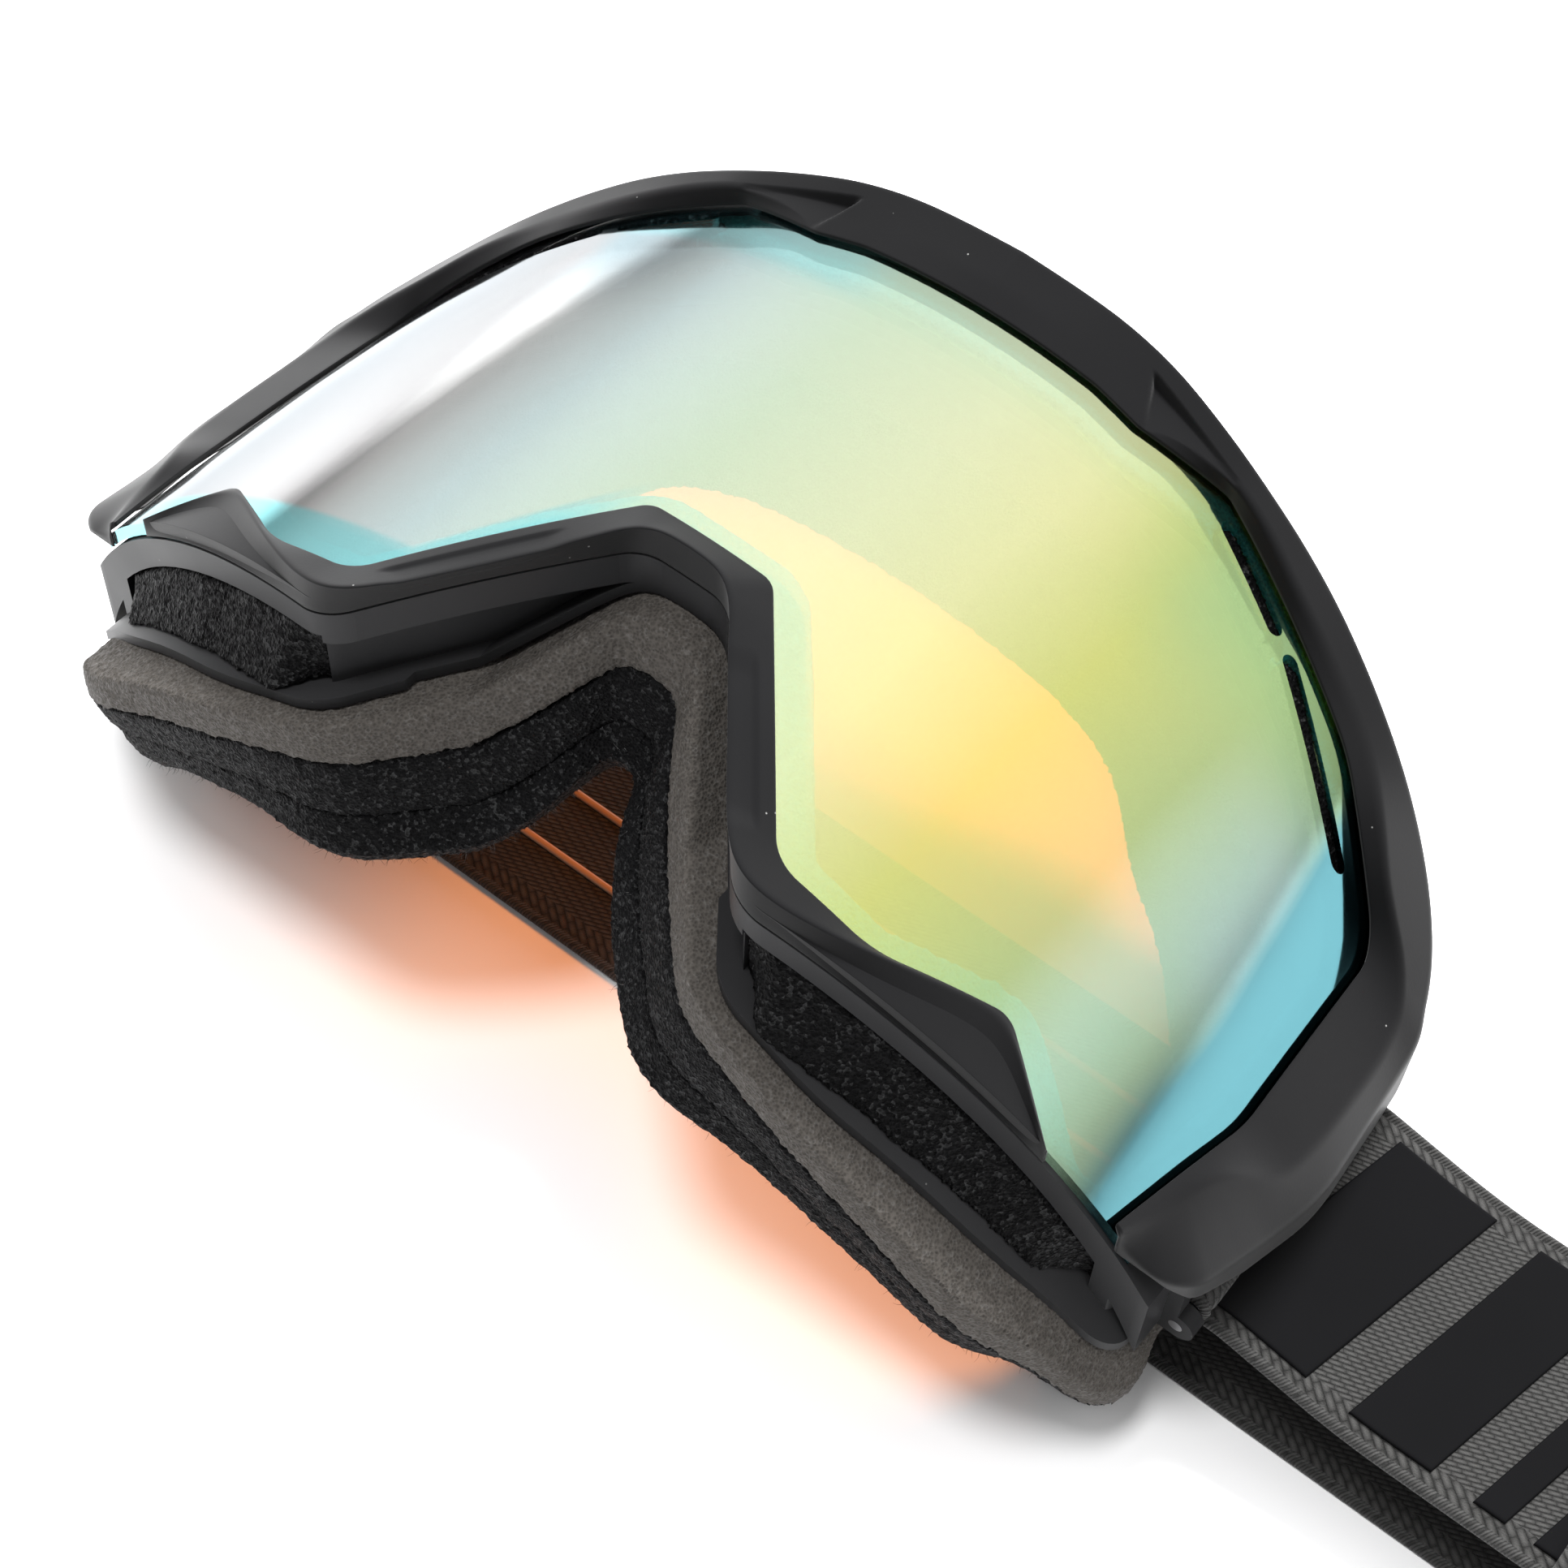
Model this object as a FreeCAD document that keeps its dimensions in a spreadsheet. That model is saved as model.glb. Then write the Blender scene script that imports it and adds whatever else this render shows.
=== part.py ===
"""Ski goggles: flexible frame, removable covers, vented double lens, layered foam and an elastic strap.

Frame of the part: the goggles lie with the lens up on the ends of the face foam. X runs from
temple to temple, Y from the cheeks to the brow, Z up out of the lens. The origin is on the plane
that the part rests on, below the middle of the lens.

The lens is the master shape. Its surface is turned about a line along Y, and every shell that
follows it is turned about the same line with an offset. The plan outlines are three sketches: the
edge of the opening over the lens, the rim of the covers, and the lip of the face flange. All other
outlines are offsets of these three.
"""

import FreeCAD, Part

import math
import os

import Sketcher
from FreeCAD import Placement, Rotation, Vector

doc = FreeCAD.newDocument("ski_goggles")

# ---------------------------------------------------------------- driving sizes (mm, degrees)

SIZES = [
    # lens surface, turned about a line along Y
    ("lens_radius", 96.0),
    ("lens_bulge_radius", 716.0),
    ("lens_lean_angle", 6.2),
    ("lens_axis_height", -8.5),
    # lens pack, measured inwards from the lens surface
    ("outer_lens_thickness", 1.6),
    ("lens_gap", 3.2),
    ("inner_lens_thickness", 1.0),
    ("lens_lap", 2.6),
    ("lens_margin", 0.5),
    ("pack_lap", 1.5),
    ("pack_margin", 2.3),
    ("gasket_width", 4.6),
    ("fit_gap", 0.3),
    # frame
    ("strip_depth", 4.4),
    ("ledge_thickness", 1.3),
    ("frame_wall", 3.0),
    ("flange_thickness", 2.0),
    ("flange_width", 10.5),
    ("flange_overhang", 3.0),
    # surface that the face foam is glued to
    ("face_radius", 98.3),
    ("face_axis_height", -25.8),
    ("face_tilt", 4.5),
    ("face_pivot_y", -52.0),
    ("nose_roll_height", 81.5),
    ("nose_roll_radius", 16.0),
    ("nose_roll_slope", 42.0),
    # covers
    ("cover_crest", 3.4),
    ("cover_flare", 5.0),
    ("cover_skin", 2.2),
    ("cover_lip", 1.2),
    ("cover_inner_bevel", 1.5),
    ("cover_facet_width", 1.6),
    ("cover_facet_drop", 3.0),
    ("pocket_depth", 1.2),
    # vents
    ("bottom_vent_start", 31.5),
    ("bottom_vent_end", 79.0),
    ("vent_foam_thickness", 1.8),
    ("vent_foam_recess", 0.9),
    ("slot_width", 2.2),
    ("slot_foam_width", 3.2),
    ("brow_foam_recess", 0.6),
    # face foam
    ("foam_width", 14.0),
    ("foam_base_depth", 7.0),
    ("foam_mid_depth", 7.5),
    ("foam_fleece_depth", 14.0),
    # strap
    ("strap_width", 40.0),
    ("strap_thickness", 1.5),
    ("strap_middle_y", -12.5),
    ("strap_fold_x", 232.0),
    ("strap_run_height", 17.0),
    ("anchor_x", 88.6),
    ("anchor_height", 22.6),
    ("anchor_pin_radius", 1.0),
    ("soft_gap", 0.3),
]

sheet = doc.addObject("Spreadsheet::Sheet", "Sizes")
for row, (alias, value) in enumerate(SIZES, start=1):
    sheet.set(f"A{row}", alias)
    sheet.set(f"B{row}", str(value))
    sheet.setAlias(f"B{row}", alias)
doc.recompute()


def size(alias):
    """The value of one cell of the sheet."""
    return float(sheet.get(alias))


# ---------------------------------------------------------------- plan outlines

# Corners of the right half of each outline, from the brow round to the nose: x, y and corner radius.
OPENING = [
    (18.0, 36.8, 10.0),
    (25.2, 35.9, 3.0),
    (38.5, 38.0, 3.0),
    (67.0, 26.8, 20.0),
    (82.2, 15.0, 9.0),
    (83.4, -18.0, 30.0),
    (79.7, -43.3, 1.0),
    (71.7, -45.3, 1.0),
    (59.3, -37.4, 3.0),
    (45.0, -45.0, 14.0),
    (31.5, -45.4, 6.0),
    (9.0, -17.3, 3.0),
]
RIM = [
    (20.0, 46.0, 70.0),
    (60.0, 37.2, 90.0),
    (80.5, 29.4, 26.0),
    (92.4, 17.2, 16.0),
    (94.8, -15.0, 40.0),
    (90.0, -41.0, 7.0),
    (70.0, -44.6, 60.0),
    (30.3, -52.0, 6.5),
    (6.4, -22.2, 6.0),
]
FLANGE = [
    (34.0, 47.0, 60.0),
    (70.0, 32.0, 40.0),
    (83.5, 18.0, 14.0),
    (83.5, -32.0, 6.0),
    (86.5, -44.5, 7.0),
    (70.0, -51.5, 60.0),
    (46.0, -56.0, 40.0),
    (30.6, -54.8, 9.0),
    (6.6, -22.4, 6.0),
]
FOAM = [
    (34.0, 48.5, 60.0),
    (71.0, 34.0, 40.0),
    (88.0, 18.0, 18.0),
    (87.4, -36.0, 10.0),
    (91.5, -49.0, 10.0),
    (70.0, -55.0, 60.0),
    (44.0, -58.8, 40.0),
    (28.0, -55.6, 12.0),
    (5.6, -24.4, 5.0),
]


def short_arc(centre, one, other):
    """The shorter arc between two points about a centre, and which of its ends is the first point."""
    turn = (one - centre).cross(other - centre).z
    start, end = (one, other) if turn > 0 else (other, one)
    circle = Part.Circle(centre, Vector(0, 0, 1), (one - centre).Length)
    from_angle = math.atan2(start.y - centre.y, start.x - centre.x)
    to_angle = math.atan2(end.y - centre.y, end.x - centre.x)
    return Part.ArcOfCircle(circle, from_angle, to_angle), 1 if turn > 0 else 2


def outline_sketch(name, half):
    """A closed, mirror-symmetric outline of straight runs and corner arcs, fully constrained."""
    corners = [Vector(x, y, 0) for x, y, _ in half] + [Vector(-x, y, 0) for x, y, _ in reversed(half)]
    radii = [r for _, _, r in half] + [r for _, _, r in reversed(half)]
    count = len(corners)
    starts, ends, arcs, first_ends = [], [], [], []
    for i, corner in enumerate(corners):
        back = (corners[i - 1] - corner).normalize()
        ahead = (corners[(i + 1) % count] - corner).normalize()
        half_angle = back.getAngle(ahead) / 2
        run = radii[i] / math.tan(half_angle)
        starts.append(corner + back * run)
        ends.append(corner + ahead * run)
        centre = corner + (back + ahead).normalize() * radii[i] / math.sin(half_angle)
        arc, first_end = short_arc(centre, starts[i], ends[i])
        arcs.append(arc)
        first_ends.append(first_end)
    sketch = doc.addObject("Sketcher::SketchObject", name)
    arc_ids, line_ids, point_ids = [], [], []
    for i in range(count):
        arc_ids.append(sketch.addGeometry(arcs[i], False))
        line_ids.append(sketch.addGeometry(Part.LineSegment(ends[i], starts[(i + 1) % count]), False))
        point_ids.append(sketch.addGeometry(Part.Point(corners[i]), True))
    rules = []
    for i in range(count):
        first, last = first_ends[i], 3 - first_ends[i]
        rules.append(Sketcher.Constraint("Tangent", arc_ids[i], first, line_ids[i - 1], 2))
        rules.append(Sketcher.Constraint("Tangent", arc_ids[i], last, line_ids[i], 1))
        rules.append(Sketcher.Constraint("PointOnObject", point_ids[i], 1, line_ids[i - 1]))
        rules.append(Sketcher.Constraint("PointOnObject", point_ids[i], 1, line_ids[i]))
    for i, (x, y, radius) in enumerate(half):
        mirror = count - 1 - i
        rules.append(Sketcher.Constraint("DistanceX", -1, 1, point_ids[i], 1, x))
        rules.append(Sketcher.Constraint("DistanceY", -1, 1, point_ids[i], 1, y))
        rules.append(Sketcher.Constraint("Radius", arc_ids[i], radius))
        rules.append(Sketcher.Constraint("Symmetric", point_ids[i], 1, point_ids[mirror], 1, -2))
        rules.append(Sketcher.Constraint("Equal", arc_ids[i], arc_ids[mirror]))
    sketch.addConstraint(rules)
    return sketch


opening = outline_sketch("opening_outline", OPENING)
rim = outline_sketch("rim_outline", RIM)
flange = outline_sketch("flange_outline", FLANGE)
foam = outline_sketch("foam_outline", FOAM)
doc.recompute()

PRISM_HEIGHT = 130.0


def polygon_sketch(name, corners):
    """A closed outline of straight edges through the given points, fully constrained."""
    sketch = doc.addObject("Sketcher::SketchObject", name)
    points = [Vector(x, y, 0) for x, y in corners]
    lines = []
    for start, end in zip(points, points[1:] + points[:1]):
        lines.append(sketch.addGeometry(Part.LineSegment(start, end), False))
    rules = []
    for i, point in enumerate(points):
        rules.append(Sketcher.Constraint("Coincident", lines[i - 1], 2, lines[i], 1))
        rules.append(Sketcher.Constraint("DistanceX", -1, 1, lines[i], 1, point.x))
        rules.append(Sketcher.Constraint("DistanceY", -1, 1, lines[i], 1, point.y))
    sketch.addConstraint(rules)
    return sketch


def offset(outline, amount, name):
    """The outline moved outwards by an expression in the sheet's sizes."""
    moved = doc.addObject("Part::Offset2D", name)
    moved.Source = outline
    moved.Mode = "Skin"
    moved.Join = "Arc"
    moved.setExpression("Value", amount)
    return moved


def prism(outline, name):
    """The space above the rest plane inside a plan outline."""
    solid = doc.addObject("Part::Extrusion", name)
    solid.Base = outline
    solid.DirMode = "Custom"
    solid.Dir = Vector(0, 0, 1)
    solid.LengthFwd = PRISM_HEIGHT
    solid.Solid = True
    solid.FaceMakerClass = "Part::FaceMakerCheese"
    return solid


def offset_prism(outline, amount, name):
    """The space inside an offset of a plan outline."""
    return prism(offset(outline, amount, name + "_outline"), name)


def common(name, *items):
    """What all the given solids share."""
    both = doc.addObject("Part::MultiCommon", name)
    both.Shapes = list(items)
    return both


def fused(name, *items):
    """The given solids as one."""
    whole = doc.addObject("Part::MultiFuse", name)
    whole.Shapes = list(items)
    return whole


def cut(name, base, tool):
    """The base without the tool."""
    left = doc.addObject("Part::Cut", name)
    left.Base = base
    left.Tool = tool
    return left


# ---------------------------------------------------------------- turned surfaces

YZ_PLANE = Placement(Vector(0, 0, 0), Rotation(Vector(1, 1, 1), 120))
HALF_DEPTH = 75.0
BORE = 6.0  # the turned spaces stay this far from their axis, below everything that is kept


def inside_lens(name, rise, flare="0"):
    """The space inside the lens surface moved outwards by an expression, turned about the lens axis.

    A flare lowers the axis that it is turned about, so that the space grows wider towards the temples.
    """
    sketch = doc.addObject("Sketcher::SketchObject", name + "_profile")
    sketch.Placement = YZ_PLANE
    bulge = size("lens_bulge_radius")
    lean = math.radians(size("lens_lean_angle"))
    axis = size("lens_axis_height")
    centre = Vector(-bulge * math.sin(lean), axis + size("lens_radius") - bulge * math.cos(lean), 0)
    low = centre + Vector(-HALF_DEPTH - centre.x, math.sqrt(bulge ** 2 - (HALF_DEPTH + centre.x) ** 2), 0)
    high = centre + Vector(HALF_DEPTH - centre.x, math.sqrt(bulge ** 2 - (HALF_DEPTH - centre.x) ** 2), 0)
    crown, first = short_arc(centre, low, high)
    arc = sketch.addGeometry(crown, False)
    base_low, base_high = Vector(-HALF_DEPTH, axis + BORE, 0), Vector(HALF_DEPTH, axis + BORE, 0)
    right = sketch.addGeometry(Part.LineSegment(high, base_high), False)
    base = sketch.addGeometry(Part.LineSegment(base_high, base_low), False)
    left = sketch.addGeometry(Part.LineSegment(base_low, low), False)
    sketch.addConstraint([
        Sketcher.Constraint("Coincident", arc, 3 - first, right, 1),
        Sketcher.Constraint("Coincident", right, 2, base, 1),
        Sketcher.Constraint("Coincident", base, 2, left, 1),
        Sketcher.Constraint("Coincident", left, 2, arc, first),
        Sketcher.Constraint("Horizontal", base),
        Sketcher.Constraint("Vertical", left),
        Sketcher.Constraint("Vertical", right),
        Sketcher.Constraint("DistanceX", base, 2, -1, 1, HALF_DEPTH),
        Sketcher.Constraint("DistanceX", -1, 1, base, 1, HALF_DEPTH),
        Sketcher.Constraint("DistanceY", -1, 1, base, 1, axis + BORE),
        Sketcher.Constraint("DistanceX", -1, 1, arc, 3, centre.x),
        Sketcher.Constraint("DistanceY", -1, 1, arc, 3, centre.y),
        Sketcher.Constraint("Radius", arc, bulge),
    ])
    last = len(sketch.Constraints) - 1
    sketch.setExpression(f"Constraints[{last}]", f"Sizes.lens_bulge_radius + ({rise})")
    sketch.setExpression(f"Constraints[{last - 1}]",
                         "Sizes.lens_axis_height + Sizes.lens_radius"
                         " - Sizes.lens_bulge_radius * cos(Sizes.lens_lean_angle * 1 deg)")
    sketch.setExpression(f"Constraints[{last - 2}]",
                         "-Sizes.lens_bulge_radius * sin(Sizes.lens_lean_angle * 1 deg)")
    turned = doc.addObject("Part::Revolution", name)
    turned.Source = sketch
    turned.Axis = Vector(0, 1, 0)
    turned.setExpression("Base.z", f"Sizes.lens_axis_height - ({flare})")
    turned.Angle = 176.0
    turned.Symmetric = True
    turned.Solid = True
    return turned


def lens_level(name, drop):
    """The space below a surface that lies an expression deep under the front of the lens."""
    return inside_lens(name, f"-({drop})")


PACK_DEPTH = "Sizes.outer_lens_thickness + Sizes.lens_gap + Sizes.inner_lens_thickness"
below_crest = inside_lens("below_crest", "Sizes.cover_crest", "Sizes.cover_flare")
below_front = lens_level("below_front", "0")
below_cover_seat = lens_level("below_cover_seat", "-Sizes.fit_gap")
below_outer_lens = lens_level("below_outer_lens", "Sizes.outer_lens_thickness")
below_strip = lens_level("below_strip", "Sizes.outer_lens_thickness + Sizes.fit_gap")
below_gasket_top = lens_level("below_gasket_top", "Sizes.outer_lens_thickness + Sizes.fit_gap")
below_gasket = lens_level("below_gasket", "Sizes.outer_lens_thickness + Sizes.lens_gap - Sizes.fit_gap")
below_inner_front = lens_level("below_inner_front", "Sizes.outer_lens_thickness + Sizes.lens_gap")
below_inner_lens = lens_level("below_inner_lens", PACK_DEPTH)
below_seat = lens_level("below_seat", PACK_DEPTH + " + Sizes.fit_gap")
below_ledge = lens_level("below_ledge", PACK_DEPTH + " + Sizes.fit_gap + Sizes.ledge_thickness")
below_vent_top = lens_level("below_vent_top", "Sizes.outer_lens_thickness + Sizes.strip_depth")
below_vent_foam = lens_level("below_vent_foam",
                             "Sizes.outer_lens_thickness + Sizes.strip_depth + Sizes.soft_gap")


# ---------------------------------------------------------------- face surface

def box(name, x, y, z):
    """A block between two limits along each axis."""
    block = doc.addObject("Part::Box", name)
    block.Length, block.Width, block.Height = x[1] - x[0], y[1] - y[0], z[1] - z[0]
    block.Placement = Placement(Vector(x[0], y[0], z[0]), Rotation())
    return block


def face_side(name, drop, ease=0.0):
    """The space on the wearer's side of the face surface, lowered by a drop and drawn in by an ease.

    The surface is a drum across the temples, tilted back towards the brow, with a roll over the nose.
    """
    drum = doc.addObject("Part::Cylinder", name + "_drum")
    drum.setExpression("Radius", f"Sizes.face_radius - {ease}")
    drum.Height = 4 * HALF_DEPTH
    tilt = Rotation(Vector(1, 0, 0), -size("face_tilt"))
    lie_along_y = Rotation(Vector(1, 0, 0), -90)
    pivot = Vector(0, size("face_pivot_y"), size("face_axis_height") - drop)
    drum.Placement = Placement(pivot - tilt.multVec(Vector(0, 2 * HALF_DEPTH, 0)), tilt * lie_along_y)
    radius = size("nose_roll_radius") - ease
    slope = math.radians(size("nose_roll_slope"))
    centre = Vector(0, 0, size("nose_roll_height") - size("nose_roll_radius"))
    touch = centre + Vector(math.sin(slope), 0, math.cos(slope)) * radius
    foot_drop = 45.0
    foot = touch + Vector(foot_drop / math.tan(slope), 0, -foot_drop)
    mirrored = [Vector(-touch.x, 0, touch.z), Vector(-foot.x, 0, foot.z)]
    crown = Part.Arc(mirrored[0], centre + Vector(0, 0, radius), touch).toShape()
    sides = Part.makePolygon([touch, foot, mirrored[1], mirrored[0]])
    roll = doc.addObject("Part::Feature", name + "_roll")
    profile = Part.Face(Part.Wire([crown] + sides.Edges))
    roll.Shape = profile.extrude(Vector(0, -HALF_DEPTH, 0))
    roll.Placement = Placement(Vector(0, -4, -drop), Rotation())
    return fused(name, drum, roll)


FOAM_BASE_END = size("foam_base_depth")
FOAM_MID_END = FOAM_BASE_END + size("foam_mid_depth")
FOAM_END = FOAM_MID_END + size("foam_fleece_depth")
FIT = size("fit_gap")
face = face_side("face", 0.0)
face_flange_top = face_side("face_flange_top", -size("flange_thickness"))
face_foam_front = face_side("face_foam_front", 0.0, FIT)
face_base_back = face_side("face_base_back", FOAM_BASE_END)
face_mid_front = face_side("face_mid_front", FOAM_BASE_END, FIT)
face_mid_back = face_side("face_mid_back", FOAM_MID_END)
face_fleece_front = face_side("face_fleece_front", FOAM_MID_END, FIT)
face_back = face_side("face_back", FOAM_END)

# ---------------------------------------------------------------- plan spaces

in_rim = prism(rim, "in_rim")
in_opening = prism(opening, "in_opening")
in_flange = prism(flange, "in_flange")
in_foam = prism(foam, "in_foam")
in_flange_bore = offset_prism(flange, "-Sizes.flange_width", "in_flange_bore")
in_foam_bore = offset_prism(foam, "-Sizes.foam_width", "in_foam_bore")
in_wall = offset_prism(flange, "-Sizes.flange_overhang", "in_wall")
in_wall_back = offset_prism(flange, "-Sizes.flange_overhang - Sizes.frame_wall", "in_wall_back")
in_rim_back = offset_prism(rim, "-Sizes.frame_wall", "in_rim_back")
in_lap = offset_prism(opening, "Sizes.lens_lap", "in_lap")
in_lap_clear = offset_prism(opening, "Sizes.lens_lap + Sizes.fit_gap", "in_lap_clear")
in_rim_skin = offset_prism(rim, "-Sizes.lens_margin", "in_rim_skin")
in_rim_step = offset_prism(rim, "-Sizes.pack_margin", "in_rim_step")
in_rim_step_clear = offset_prism(rim, "-Sizes.pack_margin + Sizes.fit_gap", "in_rim_step_clear")
in_pack = offset_prism(opening, "Sizes.pack_lap", "in_pack")
in_pack_clear = offset_prism(opening, "Sizes.pack_lap + Sizes.fit_gap", "in_pack_clear")
in_gasket_bore = offset_prism(opening, "-Sizes.gasket_width", "in_gasket_bore")

lens_plan = common("lens_plan", in_lap, in_rim_skin)
lens_plan_clear = common("lens_plan_clear", in_lap_clear, prism(rim, "in_rim_whole"))
pack_plan = common("pack_plan", in_pack, in_rim_step)
pack_plan_clear = common("pack_plan_clear", in_pack_clear, in_rim_step_clear)

parts = []


def finished(label, shape_object):
    """Marks an object as a sub-part under its own label."""
    shape_object.Label = label
    parts.append(shape_object)
    return shape_object


# ---------------------------------------------------------------- lens pack

def slot_prism(name, start, end, width):
    """The space above the rest plane inside a round-ended slot of a width that is an expression."""
    sketch = doc.addObject("Sketcher::SketchObject", name + "_outline")
    start, end = Vector(*start, 0), Vector(*end, 0)
    along = (end - start).normalize()
    side = Vector(-along.y, along.x, 0)
    angle = math.atan2(side.y, side.x)
    z_axis = Vector(0, 0, 1)
    cap_start = Part.ArcOfCircle(Part.Circle(start, z_axis, 1), angle, angle + math.pi)
    cap_end = Part.ArcOfCircle(Part.Circle(end, z_axis, 1), angle - math.pi, angle)
    first = sketch.addGeometry(cap_start, False)
    second = sketch.addGeometry(cap_end, False)
    upper = sketch.addGeometry(Part.LineSegment(end + side, start + side), False)
    lower = sketch.addGeometry(Part.LineSegment(start - side, end - side), False)
    sketch.addConstraint([
        Sketcher.Constraint("Tangent", upper, 2, first, 1),
        Sketcher.Constraint("Tangent", first, 2, lower, 1),
        Sketcher.Constraint("Tangent", lower, 2, second, 1),
        Sketcher.Constraint("Tangent", second, 2, upper, 1),
        Sketcher.Constraint("DistanceX", -1, 1, first, 3, start.x),
        Sketcher.Constraint("DistanceY", -1, 1, first, 3, start.y),
        Sketcher.Constraint("DistanceX", -1, 1, second, 3, end.x),
        Sketcher.Constraint("DistanceY", -1, 1, second, 3, end.y),
        Sketcher.Constraint("Equal", first, second),
        Sketcher.Constraint("Radius", first, 1.0),
    ])
    sketch.setExpression(f"Constraints[{len(sketch.Constraints) - 1}]", f"({width}) / 2")
    return prism(sketch, name)


def mirrored(name, source):
    """The same solid on the other side of the middle plane."""
    twin = doc.addObject("Part::Mirroring", name)
    twin.Source = source
    twin.Normal = Vector(1, 0, 0)
    return twin


SLOTS = [((41.0, 34.6), (52.0, 29.6)), ((56.0, 27.9), (73.4, 16.4))]
SLOT_ROOM_WIDTH = "Sizes.slot_foam_width + 2 * Sizes.soft_gap"
slots, slot_foams, slot_rooms = [], [], []
for number, (start, end) in enumerate(SLOTS):
    slots.append(slot_prism(f"slot_{number}", start, end, "Sizes.slot_width"))
    slot_foams.append(slot_prism(f"slot_foam_{number}", start, end, "Sizes.slot_foam_width"))
    slot_rooms.append(slot_prism(f"slot_room_{number}", start, end, SLOT_ROOM_WIDTH))
right_slots = fused("right_slots", *slots)
right_rooms = fused("right_rooms", *slot_rooms)
both_slots = fused("both_slots", right_slots, mirrored("left_slots", right_slots))
both_rooms = fused("both_rooms", right_rooms, mirrored("left_rooms", right_rooms))

lens_shell = cut("lens_shell", common("lens_front_space", lens_plan, below_front), below_outer_lens)
finished("outer_lens", cut("outer_lens", lens_shell, both_slots))

inner_space = common("inner_lens_space", pack_plan, below_inner_front)
finished("inner_lens", cut("inner_lens", inner_space, below_inner_lens))

gasket_layer = cut("gasket_layer", common("gasket_space", pack_plan, below_gasket_top), below_gasket)
gasket_ring = cut("gasket_ring", gasket_layer, in_gasket_bore)
finished("lens_gasket", cut("lens_gasket", gasket_ring, both_rooms))

slot_foam_space = common("slot_foam_space", fused("right_slot_foams", *slot_foams), below_gasket_top)
right_slot_foam = cut("right_slot_foam", slot_foam_space, below_gasket)
finished("lens_vent_foam_right", right_slot_foam)
finished("lens_vent_foam_left", mirrored("left_slot_foam", right_slot_foam))

# ---------------------------------------------------------------- frame

TEMPLE = 86.5
body_side = box("body_side", (-TEMPLE, TEMPLE), (-HALF_DEPTH, HALF_DEPTH), (0, PRISM_HEIGHT))
band_space = cut("band_space", common("band_top", in_rim, body_side, below_strip), below_ledge)
pack_room = cut("pack_room", pack_plan_clear, below_seat)
band_ring = cut("band_ring", cut("band_bored", band_space, in_gasket_bore), pack_room)
band = cut("band", band_ring, face)

wall_plan = common("wall_plan", in_wall, in_rim)
wall_bore = common("wall_bore", in_wall_back, in_rim_back)
wall_ring = cut("wall_ring", common("wall_top", wall_plan, below_seat), wall_bore)
wall = cut("wall", wall_ring, face)

nose_side = cut("nose_side", box("nose_block", (-24, 24), (-70, 0), (0, PRISM_HEIGHT)), in_rim)
flange_ring = cut("flange_ring", cut("flange_plan", in_flange, in_flange_bore), nose_side)
flange_plate = cut("flange_plate", common("flange_top", flange_ring, face_flange_top, below_seat), face)

vent_start, vent_end = size("bottom_vent_start"), size("bottom_vent_end")
SOFT = size("soft_gap")


def bottom_vent(name, ease, top):
    """The window under one cheek, from the strip down to the flange, made smaller all round by an ease."""
    block = box(name + "_block", (vent_start + ease, vent_end - ease), (-70, -36), (0, PRISM_HEIGHT))
    floor = face_side(name + "_floor", -size("flange_thickness") - ease)
    return cut(name, common(name + "_top", block, top), floor)


# Brow vents: middle and width of the windows to the right of the middle plane.
BROW_VENTS = [(11.0, 14.0), (29.0, 15.0), (47.0, 14.0), (62.5, 10.0)]


def brow_vents(name, ease, top):
    """The row of windows in the brow wall."""
    blocks = []
    for number, (middle, width) in enumerate(BROW_VENTS):
        half = width / 2 - ease
        limits = (middle - half, middle + half)
        blocks.append(box(f"{name}_block_{number}", limits, (20, 60), (0, PRISM_HEIGHT)))
    right = fused(name + "_right", *blocks)
    row = fused(name + "_row", right, mirrored(name + "_left", right))
    floor = face_side(name + "_floor", -size("flange_thickness") - ease)
    return cut(name, common(name + "_top", row, top), floor)


right_window = bottom_vent("right_window", 0.0, below_vent_top)
window_tool = cut("window_tool", right_window, in_rim_back)
windows = fused("windows", window_tool, mirrored("left_window_tool", window_tool))
brow_windows = cut("brow_windows", brow_vents("brow_window", 0.0, below_ledge), wall_bore)

ANCHOR_X, ANCHOR_Z = size("anchor_x"), size("anchor_height")
PIN = size("anchor_pin_radius")
PIN_PLAY = 0.15
STRAP_LOW = size("strap_middle_y") - size("strap_width") / 2
STRAP_HIGH = size("strap_middle_y") + size("strap_width") / 2
LUG = 2.5
LUG_RADIUS = PIN + 1.6
LUG_RISE = 12.0


def rod(name, x, y, z, radius):
    """A round bar along Y between two limits."""
    bar = doc.addObject("Part::Cylinder", name)
    bar.Radius = radius
    bar.Height = y[1] - y[0]
    bar.Placement = Placement(Vector(x, y[0], z), Rotation(Vector(1, 0, 0), -90))
    return bar


def lug(name, y):
    """An ear on the right temple that carries one end of the anchor pin."""
    end = rod(name + "_eye", ANCHOR_X, y, ANCHOR_Z, LUG_RADIUS)
    arm = box(name + "_arm", (ANCHOR_X - 10.0, ANCHOR_X), y, (ANCHOR_Z - LUG_RADIUS, ANCHOR_Z + LUG_RISE))
    root = cut(name + "_root", common(name + "_under", arm, below_strip), face)
    return fused(name, end, cut(name + "_clear", root, pack_room))


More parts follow.
